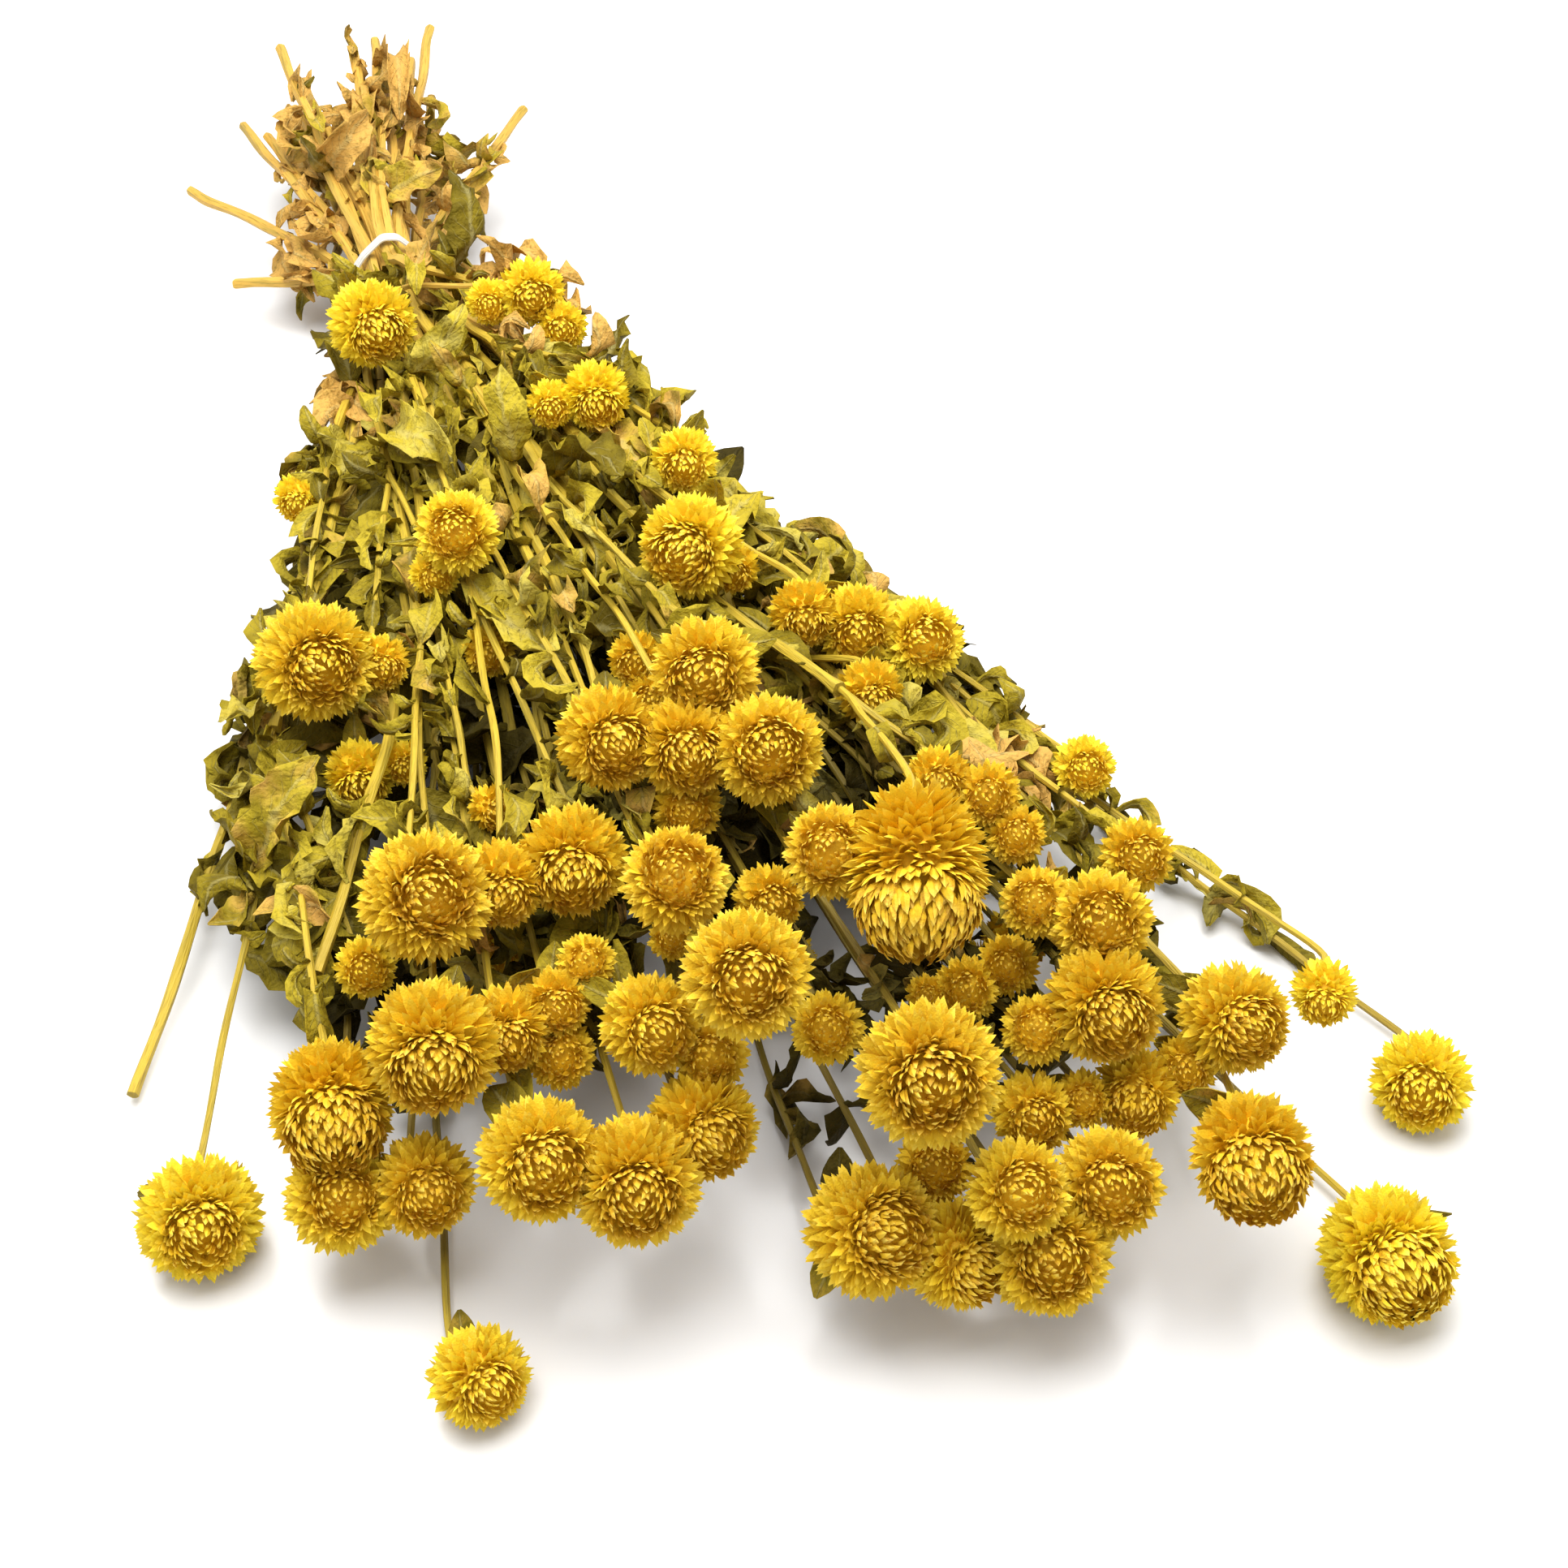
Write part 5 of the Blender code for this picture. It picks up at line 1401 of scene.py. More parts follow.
def bracts(head, tone, chance):
    """All bracts of a head: corners, faces, and the numbers that colour them."""
    radius, ratio = head["width"] / 2.0, head["length"] / head["width"]
    count = bract_count(radius, ratio)
    polar = np.interp((np.arange(count) + 0.5) / count, BRACT_SHARES, BRACT_PLACES)
    polar = polar + chance.normal(0.0, POLAR_JITTER, count)
    around = GOLDEN_ANGLE * np.arange(count) + chance.normal(0.0, AROUND_JITTER, count)
    shape = np.clip(polar - EGG_BUD * (ratio - 1.0), 0.0, None)
    opened = soft_step(OPEN_FROM, OPEN_TO, shape)
    base = np.radians(np.interp(shape, BRACT_ANGLES, BASE_LEANS))
    lean = np.radians(np.interp(shape, BRACT_ANGLES, POINT_LEANS))
    lean = lean + chance.normal(0.0, LEAN_JITTER, count)
    curl = lean - base + chance.normal(0.0, CURL_JITTER, count)
    length = radius * np.interp(shape, BRACT_ANGLES, BRACT_LENGTHS)
    length = length * chance.uniform(*LENGTH_RANGE, count)
    half = LEAST_HALF_WIDTH + radius * np.interp(shape, BRACT_ANGLES, BRACT_WIDTHS)
    half = half * chance.uniform(*WIDTH_RANGE, count)
    reach = chance.uniform(*REACH_RANGE, count)

    axis = head["axis"]
    side, top = square_to(axis)
    out = np.outer(np.cos(around), side) + np.outer(np.sin(around), top)
    angle = np.radians(polar)[:, None]
    tip = radius * reach[:, None] * (np.sin(angle) * out + ratio * np.cos(angle) * axis)

    start = (lean - curl)[:, None]
    ahead = np.cos(start) * axis + np.sin(start) * out
    above = np.cos(start) * out - np.sin(start) * axis
    across = np.cross(ahead, above)
    twist = chance.normal(0.0, TWIST_JITTER, count)[:, None]
    above, across = (np.cos(twist) * above + np.sin(twist) * across,
                     np.cos(twist) * across - np.sin(twist) * above)

    share = SHARES[None, :, :]
    turn = curl[:, None] * share[..., 0]
    safe = np.where(np.abs(curl) < STRAIGHTEST, STRAIGHTEST, curl)[:, None]
    forth = (length[:, None] * np.sin(safe * share[..., 0]) / safe)[..., None]
    height = (length[:, None] * (1.0 - np.cos(safe * share[..., 0])) / safe)[..., None]
    lift = (half[:, None] * share[..., 2] - BRACT_SHEET * INNER)[..., None]
    over = np.cos(turn)[..., None] * above[:, None] - np.sin(turn)[..., None] * ahead[:, None]
    sheet = forth * ahead[:, None] + height * above[:, None] + lift * over
    sheet = sheet + (half[:, None] * share[..., 1])[..., None] * across[:, None]
    corners = sheet + (tip - sheet[:, -1])[:, None] + head["centre"]

    size = len(SHARES)
    faces = (BRACT_FACES[None] + size * np.arange(count)[:, None, None]).reshape(-1, 3)
    spread = np.ones((count, size))
    return corners.reshape(-1, 3), faces, {
        "along": (spread * share[..., 0]).ravel(),
        "edge": (spread * np.abs(share[..., 1])).ravel(),
        "tint": (spread * chance.uniform(0.0, 1.0, count)[:, None]).ravel(),
        "bud": (spread * (1.0 - opened)[:, None]).ravel(),
        "tone": tone,
    }


print("each bract stands", round(math.degrees(GOLDEN_ANGLE), 1), "degrees on from the last")

# %% [markdown]
# Between the bracts one must not see through the head, so a small orange core fills its inside; its
# orange is partly painted shade. The clusters of the plan become one piece each, in place of the node
# that holds the same heads. Heads in a crowd are a deeper gold in the picture than those that stand
# alone, as they shade one another, so each head gets painted shade by its crowd, mixed with a tone that
# differs at random.

# %% Build every cluster of heads
CENTRES = np.array([head["centre"] for head in heads.values()])
# Painted shade: a head with many others near it is painted a deeper gold, as if in the shade of its
# crowd.
CROWD_REACH, CROWD_FULL = 45.0, 9.0
TONE_BY_CHANCE, SHADE_BY_CROWD = 0.3, 0.7
CORE_SHARE = 0.68
CORE_SIDES = 12
CORE_RINGS = 7


def core(head):
    """A small egg inside the head."""
    axis = head["axis"]
    side, top = square_to(axis)
    half_width, half_length = head["width"] / 2.0 * CORE_SHARE, head["length"] / 2.0 * CORE_SHARE
    corners = [head["centre"] + axis * half_length]
    for i in range(1, CORE_RINGS):
        polar = math.pi * i / CORE_RINGS
        for k in range(CORE_SIDES):
            angle = math.tau * k / CORE_SIDES
            out = math.cos(angle) * side + math.sin(angle) * top
            ring = math.sin(polar) * half_width * out + math.cos(polar) * half_length * axis
            corners.append(head["centre"] + ring)
    corners.append(head["centre"] - axis * half_length)
    last = len(corners) - 1
    ends = []
    for k in range(CORE_SIDES):
        n = (k + 1) % CORE_SIDES
        ends += [(0, 1 + k, 1 + n), (last, last - CORE_SIDES + n, last - CORE_SIDES + k)]
    quads = tube_quads(CORE_RINGS - 1, CORE_SIDES, first=1)[:, (3, 0, 1, 2)]
    return np.array(corners), np.vstack((ends, triangles(quads)))


def dress_heads(material):
    """One piece for each cluster, in place of its node."""
    gathers = {}
    chance = np.random.default_rng(21)
    for name, head in heads.items():
        gather = gathers.setdefault(cluster[name], Gather())
        near = (np.linalg.norm(CENTRES - head["centre"], axis=1) < CROWD_REACH).sum() - 1
        # Painted shade by how crowded the head is, mixed with a tone that differs at random.
        tone = TONE_BY_CHANCE * chance.uniform(0.0, 1.0) + SHADE_BY_CROWD * min(1.0, near / CROWD_FULL)
        gather.add(*bracts(head, tone, chance))
        # The core takes the root's orange, which is partly painted shade.
        plain = {"along": 0.0, "edge": 0.0, "tint": 0.5, "bud": 0.0, "tone": tone}
        gather.add(*core(head), plain)
    total = 0
    for number, gather in gathers.items():
        node = "heads_%02d" % (number + 1)
        thing = gather.piece("bracts_%02d" % (number + 1), material, "bracts", node)
        total += len(thing.data.polygons)
    return total


print("a core reaches", CORE_SHARE, "of the way to the outline of its head")

# %% [markdown]
# ## The finish of the bracts
#
# Dry bracts are golden and papery. Deep between them the colour turns to orange, partly their own
# colour and partly painted shade in the crevices, and their points are paler. The closed bud in the
# middle is painted a darker gold and the open rim a lighter one, painted shade and painted light that
# even out how the lamp falls on them. Whole heads in a crowd get painted shade, and small rusty specks
# are scattered over all. The mesh stores where on a bract a corner lies, how open it is and its head's
# tone and crowd shade, so all this is one sum of masks.

# %% Bract paper
# The root's deep orange is partly painted shade between the bracts. The bud colours are painted darker
# and the open colours lighter, as painted shade and painted light; the ochres also carry the crowd's
# painted shade.
DEEP_ORANGE = (0.80, 0.50, 0.014)
OPEN_GOLD = (0.97, 0.78, 0.037)
OPEN_OCHRE_AND_SHADE = (0.79, 0.53, 0.020)
BUD_GOLD = (0.93, 0.68, 0.030)
BUD_OCHRE_AND_SHADE = (0.68, 0.40, 0.014)
PALE_GOLD = (0.92, 0.74, 0.13)
RUST = (0.44, 0.16, 0.008)
PAPER_RELIEF = 0.00015


def bract_paper():
    """Golden paper: orange at a bract's root, partly painted shade, paler at its point, with rusty
    specks; the bud is painted darker, the open rim lighter.
    """
    graph = Graph("bract_paper", Roughness=0.62, Specular_IOR_Level=0.25)
    where = graph.node("TexCoord", {}, {}, "Object")
    along, edge, tint = stored(graph, "along"), stored(graph, "edge"), stored(graph, "tint")
    bud, tone = stored(graph, "bud"), stored(graph, "tone")
    clouds = noise(graph, where, 420.0, 3.0)
    grain = noise(graph, where, 2600.0, 2.0)
    # Painted shade from the crowd, mixed with the random tone, takes the gold towards ochre.
    deeper_and_shaded = rise(graph, tone * 0.9 + clouds * 0.3, 0.25, 1.0)
    opened = blend(graph, deeper_and_shaded, OPEN_GOLD, OPEN_OCHRE_AND_SHADE)
    body = blend(graph, bud, opened, blend(graph, deeper_and_shaded, BUD_GOLD, BUD_OCHRE_AND_SHADE))
    color = blend(graph, rise(graph, along + (grain - 0.5) * 0.3, 0.25, 0.7), DEEP_ORANGE, body)
    thin = along * 0.8 + (clouds - 0.5) * 0.5 + bud * 0.1
    color = blend(graph, rise(graph, thin, 0.62, 1.0) * 0.7, color, PALE_GOLD)
    rusty = rise(graph, tint * 0.5 + bud * 0.2 + grain * 0.9, 0.95, 1.25)
    color = blend(graph, rusty * 0.6, color, RUST)
    graph.feed("Base Color", color)
    bump(graph, grain + (1.0 - edge) * 0.4, PAPER_RELIEF)
    return graph.material


bract_material = bract_paper()
made = dress_heads(bract_material)
print(made, "triangles of bracts")

# %% [markdown]
# ## Stems
#
# The stalks of globe amaranth are thin, ribbed and slightly hairy, swollen where they fork, straw
# coloured near the cut and more olive towards the heads. The solids have plain square ones, along
# straight stretches. Here a smooth curve goes through the same points, and a ring of ten corners
# with every second one lower gives the ribs.

# %% Smooth curves
RING_SPACING = 3.6
STALK_INSIDE = 0.25


def smooth_line(line, spacing):
    """A smooth curve through points, sampled about every so many millimetres."""
    line = np.asarray(line)
    steps = np.linalg.norm(np.diff(line, axis=0), axis=1)
    time = np.concatenate(([0.0], np.cumsum(np.sqrt(steps))))
    slope = np.gradient(line, time, axis=0)
    samples = []
    for i, size in enumerate(steps):
        t = np.linspace(0.0, 1.0, max(2, math.ceil(size / spacing)), endpoint=False)[:, None]
        width = time[i + 1] - time[i]
        samples.append(between(t, line[i], width * slope[i], line[i + 1], width * slope[i + 1]))
    return np.vstack(samples + [line[-1:]])


def courses():
    """Every stretch of stem as a smooth line, joined smoothly to the stretch it grows from."""
    found = []
    before = {}
    for number, kind, index in runs:
        line = points[index]
        if kind in heads:
            head = heads[kind]
            line = np.vstack((line, head["centre"] - head["axis"] * head["length"] * STALK_INSIDE))
        if kind == "main":
            smooth = smooth_line(line, RING_SPACING)
        else:
            parent = before[index[0]]
            smooth = smooth_line(np.vstack((parent, line)), RING_SPACING)
            start = np.argmin(np.linalg.norm(smooth - line[0], axis=1))
            smooth = smooth[start:]
        before[index[-1]] = points[index[-2]]
        found.append((number, kind, smooth))
    return found


lines = courses()
length = sum(np.linalg.norm(np.diff(line, axis=0), axis=1).sum() for number, kind, line in lines)
print(round(length / 1000.0, 1), "m of stem")

# %% [markdown]
# What lies deep inside the bunch is nearly black in the picture, in the shade of all that lies above
# it. It gets painted shade: how deep a place lies is measured down from the highest stem near it, and
# stored for the materials.

# %% How deep inside the bunch
STEM_MARKS = np.vstack([line for number, kind, line in lines])
ROOF_REACH = 20.0
SHADE_DEPTH_FROM, SHADE_DEPTH_TO = 9.0, 34.0


def roof_over(spot):
    """The height of the highest stem near a place, seen from above."""
    off = STEM_MARKS[:, :2] - spot[:2]
    return STEM_MARKS[(off**2).sum(axis=1) < ROOF_REACH**2, 2].max(initial=0.0)


def shade_by_depth(roof, heights):
    """How much painted shade a place gets by its depth below its roof: 0 near it, 1 far below."""
    return soft_step(SHADE_DEPTH_FROM, SHADE_DEPTH_TO, roof - heights)


print(len(STEM_MARKS), "places on the stems")

# %% A ribbed stem
RIB_SIDES = 10
RIB_DEPTH = 0.1
SWELLING = 0.4
SWELLING_REACH = 3.0
THICKNESS_WAVE, THICKNESS_SHARE = 0.21, 0.06
SIDE_WAVE, RISE_WAVE, WAVE_SHARE = 0.13, 0.17, 0.25
WAVE_EASE = 8.0
RIB_TWIST = 0.012
GRAIN_ALONG = 0.05
OLD_FROM, OLD_TO = -140.0, 30.0


def across_frames(line):
    """Two directions square to a line at each of its points, turned smoothly along it."""
    ahead = np.gradient(line, axis=0)
    ahead /= np.maximum(np.linalg.norm(ahead, axis=1), 1e-9)[:, None]
    side = square_to(ahead[0])[0]
    frames = []
    for direction in ahead:
        side = unit(side - direction * (side @ direction))
        frames.append((side, np.cross(direction, side)))
    return frames


def stem_shape(line, radius, forks, chance):
    """A ribbed tube, its faces, and the numbers that colour it."""
    steps = np.linalg.norm(np.diff(line, axis=0), axis=1)
    along = np.concatenate(([0.0], np.cumsum(steps)))
    sway = chance.uniform(0.0, math.tau, 4)
    bulge = np.exp(-((along[-1] - along) / SWELLING_REACH) ** 2) if forks else 0.0
    thicker = THICKNESS_SHARE * np.sin(along * THICKNESS_WAVE + sway[0])
    widths = radius * (1.0 + SWELLING * bulge + thicker)
    corners, grain = [], []
    turn = np.arange(RIB_SIDES) * math.tau / RIB_SIDES
    ribs = 1.0 - RIB_DEPTH * (np.arange(RIB_SIDES) % 2)
    for i, (side, top) in enumerate(across_frames(line)):
        angle = turn + sway[1] + RIB_TWIST * along[i]
        sideways = np.sin(along[i] * SIDE_WAVE + sway[2]) * side
        wobble = WAVE_SHARE * radius * (sideways + np.sin(along[i] * RISE_WAVE + sway[3]) * top)
        middle = line[i] + wobble * min(1.0, along[i] / WAVE_EASE)
        ring = np.outer(np.cos(angle), side) + np.outer(np.sin(angle), top)
        corners.append(middle + ring * (widths[i] * ribs)[:, None])
        far = np.full(RIB_SIDES, along[i] * GRAIN_ALONG)
        grain.append(np.column_stack((np.cos(turn), np.sin(turn), far)))
    quads = tube_quads(len(line), RIB_SIDES)[:, (0, 3, 2, 1)]
    first = len(line) * RIB_SIDES
    last = first + 1
    corners += [line[:1], corners[-1].mean(axis=0)[None]]
    grain += [np.zeros((1, 3)), np.zeros((1, 3))]
    ends = []
    for k in range(RIB_SIDES):
        n = (k + 1) % RIB_SIDES
        ends += [(first, n, k), (last, first - RIB_SIDES + k, first - RIB_SIDES + n)]
    corners = np.vstack(corners)
    cut = np.zeros(len(corners))
    cut[first] = 1.0
    old = soft_step(OLD_FROM, OLD_TO, corners[:, 1])
    # Painted shade: how deep each ring lies below the stems above it.
    deep = np.array([shade_by_depth(roof_over(spot), spot[2]) for spot in line])
    deep = np.concatenate((np.repeat(deep, RIB_SIDES), deep[[0, -1]]))
    return corners, np.vstack((triangles(quads), ends)), {
        "grain": np.vstack(grain),
        "old": old,
        "cut": cut,
        "tint": chance.uniform(),
        "deep": deep,
    }


print(RIB_SIDES // 2, "ribs on every stem")

# %% One piece of stems for each spray
FINE_RADII = {"main": 1.6, "arm": 1.3}
FINE_TWIG = 0.82


def dress_stems(material):
    """One piece of stems for each spray, in place of its node."""
    gathers = {}
    chance = np.random.default_rng(4)
    starts = {index[0] for number, kind, index in runs}
    ends = [index[-1] for number, kind, index in runs]
    for (number, kind, line), end in zip(lines, ends):
        shape = stem_shape(line, FINE_RADII.get(kind, FINE_TWIG), end in starts, chance)
        gathers.setdefault(number, Gather()).add(*shape)
    total = 0
    for number, name in enumerate(SPRAYS):
        thing = gathers[number].piece("stalks_" + name, material, "dried_green", "stems_" + name)
        total += len(thing.data.polygons)
    return total


print("stems are", 2 * FINE_RADII["main"], "to", 2 * FINE_TWIG, "mm thick")

# %% [markdown]
# The stem's colour runs along it, so its noise is stretched: the mesh stores a place round the
# stem and, much slower, along it. Fine dark streaks follow the ribs.

# %% Straw and olive stems
STRAW = (0.64, 0.38, 0.060)
OLIVE_YELLOW = (0.56, 0.39, 0.028)
STREAK = (0.25, 0.16, 0.012)
MOSS = (0.34, 0.29, 0.05)
PITH = (0.80, 0.66, 0.38)
STEM_SHADE = (0.090, 0.060, 0.005)
STREAK_RELIEF = 0.0003


def stem_straw():
    """Straw and olive, with dark streaks along the ribs, pale pith at a cut, and painted shade deep in
    the bunch.
    """
    graph = Graph("stem_straw", Roughness=0.55, Specular_IOR_Level=0.35)
    grain, old, tint = stored(graph, "grain", "Vector"), stored(graph, "old"), stored(graph, "tint")
    streaks = noise(graph, grain, 3.4, 4.0)
    patches = noise(graph, grain, 0.9, 2.0)
    color = blend(graph, rise(graph, old + (tint - 0.5) * 0.5, 0.2, 0.9), OLIVE_YELLOW, STRAW)
    color = blend(graph, rise(graph, streaks, 0.5, 0.72) * 0.75, color, STREAK)
    color = blend(graph, rise(graph, patches + tint * 0.25, 0.6, 0.85) * 0.4, color, MOSS)
    color = blend(graph, stored(graph, "cut"), color, PITH)
    # Painted shade: nearly black where the stem lies deep in the bunch.
    color = blend(graph, stored(graph, "deep") * 0.75, color, STEM_SHADE)
    graph.feed("Base Color", color)
    bump(graph, streaks, STREAK_RELIEF)
    return graph.material


made = dress_stems(stem_straw())
print(made, "triangles of stems")

# %% [markdown]
# ## Leaves
#
# Dried, the leaves are thin, crumpled, rolled along their midrib and curled at the tip. A flat card
# with a leaf's outline would look like paper, so each blade is a fine grid, bent along
# its spine, rolled across, waved at its edges and creased, then closed with a back side a
# fifth of a millimetre behind.

# %% The faces of a leaf
LEAF_GRIDS = {}


def leaf_faces(rows, columns):
    """The triangles of a closed leaf: its face, its back and its rim."""
    if (rows, columns) in LEAF_GRIDS:
        return LEAF_GRIDS[rows, columns]
    wide = columns + 1
    back = (rows + 1) * wide
    quads = []
    for i in range(rows):
        for k in range(columns):
            a = i * wide + k
            quads.append((a, a + 1, a + wide + 1, a + wide))
            quads.append((back + a + wide, back + a + wide + 1, back + a + 1, back + a))
    rim = list(range(wide))
    rim += [i * wide + columns for i in range(1, rows + 1)]
    rim += [rows * wide + k for k in range(columns - 1, -1, -1)]
    rim += [i * wide for i in range(rows - 1, 0, -1)]
    for a, b in zip(rim, rim[1:] + rim[:1]):
        quads.append((b, a, back + a, back + b))
    LEAF_GRIDS[rows, columns] = triangles(quads)
    return LEAF_GRIDS[rows, columns]


print("a leaf of 14 rows and 5 columns has", len(leaf_faces(14, 5)), "triangles")

# %% One dry leaf
LEAF_SHEET = 0.22
OUTLINE_POWER = 0.8
STALK_HALF_WIDTH = 0.35
# How a leaf's roll swings along it: the steady share, the swinging share and the swing's turns.
ROLL_SHARES = (0.7, 0.3, 5.0)
# The creases: how fast each wave runs along and across the leaf, and how deep it is.
CREASES = ((0.62, 0.5, 1.0), (0.4, -0.8, 1.0), (1.05, 0.9, 0.5))
CREASE_SHARE = 0.4
RUFFLE_WAVE, RUFFLE_SHARE = 0.95, 0.8
FULLY_CREASED = 3.0
DEPTH_JITTER = 6.0


def leaf_blade(leaf, rows, columns, chance):
    """A crumpled leaf: corners, faces and the numbers that colour it."""
    stations = stations_of(leaf)
    line, sides, tops = spine(leaf, stations)
    share = np.linspace(0.0, 1.0, rows + 1)
    at = share * stations
    low = np.minimum(at.astype(int), stations - 1)
    part = (at - low)[:, None]
    slope = np.gradient(line, axis=0)
    middle = between(part, line[low], slope[low], line[low + 1], slope[low + 1])
    side = sides[low] * (1.0 - part) + sides[low + 1] * part
    top = tops[low] * (1.0 - part) + tops[low + 1] * part
    outline = np.sin(math.pi * np.clip(share**OUTLINE_POWER, 0.0, 1.0)) ** OUTLINE_POWER
    half = leaf["width"] / 2.0 * outline + STALK_HALF_WIDTH
    across = np.linspace(-1.0, 1.0, columns + 1)
    steady, swinging, turns = ROLL_SHARES
    roll = leaf["roll"] * (steady + swinging * np.sin(share * turns + leaf["twist"]))[:, None]
    angle = across[None] * roll / 2.0
    width = half[:, None] * np.sin(angle) / (roll / 2.0)
    lift = half[:, None] * (1.0 - np.cos(angle)) / (roll / 2.0)
    wave = leaf["wave"] * np.sin(math.pi * (share * stations - 0.5))[:, None]
    ends = np.sin(math.pi * share)[:, None] ** 0.5
    lift = lift - wave * across[None] * np.abs(across[None]) ** 0.5 * ends
    phase = chance.uniform(0.0, math.tau, 6)
    u, v = share[:, None] * leaf["length"], across[None] * half[:, None]
    creases = sum(much * np.sin(u * a + v * b + start) for (a, b, much), start in zip(CREASES, phase))
    ruffle = np.sin(u * RUFFLE_WAVE + phase[3]) * across[None] ** 2
    crumpled = leaf["crease"] * (creases * CREASE_SHARE + ruffle * RUFFLE_SHARE)
    lift = lift + crumpled * np.minimum(1.0, half[:, None] / FULLY_CREASED)
    face = middle[:, None] + width[..., None] * side[:, None] + lift[..., None] * top[:, None]
    normal = np.cos(angle)[..., None] * top[:, None] - np.sin(angle)[..., None] * side[:, None]
    corners = np.vstack((face.reshape(-1, 3), (face - normal * LEAF_SHEET).reshape(-1, 3)))
    grid = np.ones_like(angle)
    heights = corners[:, 2] + chance.uniform(-DEPTH_JITTER, DEPTH_JITTER)
    # Painted shade by depth below the stems, and at least the share set for the leaf.
    deep = np.maximum(shade_by_depth(roof_over(middle[rows // 2]), heights), leaf.get("dark", 0.0))
    return corners, leaf_faces(rows, columns), {
        "along": np.tile((grid * share[:, None]).ravel(), 2),
        "across": np.tile((grid * across[None]).ravel(), 2),
        "tint": leaf["tint"],
        "old": leaf["old"],
        "deep": deep,
    }


print("a leaf is", LEAF_SHEET, "mm thick")

# %% [markdown]
# The solids hold the large leaves. The crumpled mass between them, which hides the stems from
# above, is added here: smaller leaves from the same stems, thick behind the heads and brown among
# the cut ends.

# %% Where loose leaves may grow
LEAFY_TWIG = 0.75
# How many leaves a stem has, by how far behind the neck it is.
LEAFINESS = ((-330, 0.0), (-300, 0.8), (-230, 1.3), (-170, 1.6), (-120, 2.0), (-20, 2.2), (8, 2.0),
             (30, 3.2), (85, 1.7), (112, 0.0))
# Higher stems have more: the share on the table, the height that adds one, and the most added.
LOW_SHARE, HEIGHT_PER_SHARE, MOST_ADDED = 0.6, 40.0, 1.2


def leafy_spots():
    """Places on the stems where leaves may grow: root, direction of the stem, spray, likelihood."""
    roots, ahead, owner = [], [], []
    for number, kind, line in lines:
        last = len(line) - 1 if kind in RADII else max(3, int(len(line) * LEAFY_TWIG))
        roots.append(line[1:last])
        ahead.append(line[2:last + 1] - line[:last - 1])
        owner += [number] * (last - 1)
    roots, ahead = np.vstack(roots), np.vstack(ahead)
    higher = LOW_SHARE + np.clip(roots[:, 2] / HEIGHT_PER_SHARE, 0.0, MOST_ADDED)
    likely = np.interp(roots[:, 1], *zip(*LEAFINESS)) * higher
    return roots, ahead / np.linalg.norm(ahead, axis=1)[:, None], owner, likely / likely.sum()


print(len(leafy_spots()[0]), "places where leaves may grow")

# %% [markdown]
# A leaf is kept only where it stands clear of the heads, of the elastic band, of the outline that
# the bunch shows and of the dark gaps in it.

# %% Which leaves stand free
# How high the leaves may reach, by how far behind the neck they are.
ROOF = ((-300, 66), (-200, 80), (-120, 76), (-60, 66), (0, 52), (60, 62), (120, 66))
BAND_SEEN = in_picture(np.array((0.0, 0.0, NECK_HEIGHT + disc[:, 1].max() + MAIN_RADIUS)))
BAND_SIGHT = 34.0
LEAST_HEIGHT = 1.5
BAND_REACH = 5.0
HEAD_ROOM = 0.85
HEAD_SIGHT = 0.9
HALF_WIDTHS = np.array([head["width"] / 2.0 for head in heads.values()])
SEEN = np.array([name in HEADS for name in heads])


def within(spots, x, y):
    """Whether a place in the picture lies in one of some oval spots."""
    return any(((x - a) / wide) ** 2 + ((y - b) / high) ** 2 < 1.0 for a, b, wide, high in spots)


def hides_a_head(line):
    """Whether a leaf stands before a head, seen from where the picture was taken."""
    sight = CENTRES[SEEN] - EYE
    reach = np.linalg.norm(sight, axis=1)
    sight /= reach[:, None]
    for spot in line[1:]:
        along = (spot - EYE) @ sight.T
        off = np.linalg.norm(spot - EYE - along[:, None] * sight, axis=1)
        if ((off < HEAD_SIGHT * HALF_WIDTHS[SEEN]) & (along < reach)).any():
            return True
    return False


def stands_free(line):
    """Whether a leaf's line keeps off the table, the band, the heads and the bunch's outline."""
    if line[:, 2].min() < LEAST_HEIGHT or np.abs(line[:, 1]).min() < BAND_REACH:
        return False
    if (line[:, 2] > np.interp(line[:, 1], *zip(*ROOF))).any():
        return False
    rows, left, right = zip(*LEAFY_SIDES)
    for point in line:
        x, y = in_picture(point)
        if not np.interp(y, rows, left) < x < np.interp(y, rows, right):
            return False
        if math.hypot(x - BAND_SEEN[0], y - BAND_SEEN[1]) < BAND_SIGHT:
            return False
    apart = np.linalg.norm(line[:, None] - CENTRES[None], axis=2)
    return bool((apart > HEAD_ROOM * HALF_WIDTHS).all()) and not hides_a_head(line)


print("the band shows at", np.round(BAND_SEEN), "in the picture")

# %% Loose leaves
LOOSE_LEAVES = 1800
LOOSE_LENGTHS = (8.0, 22.0)
DRAWS = 40000
CELL, BUTT_CELL = 19.0, 17.5
YOUNG_TO, OLD_AT = -25.0, 40.0


def age(root, youngest, chance):
    """How brown a leaf is: most are young, and those at the cut ends are old."""
    back = soft_step(YOUNG_TO, OLD_AT, root[1])
    return max(back * chance.uniform(0.3, 1.1), chance.uniform(-2.0, youngest))


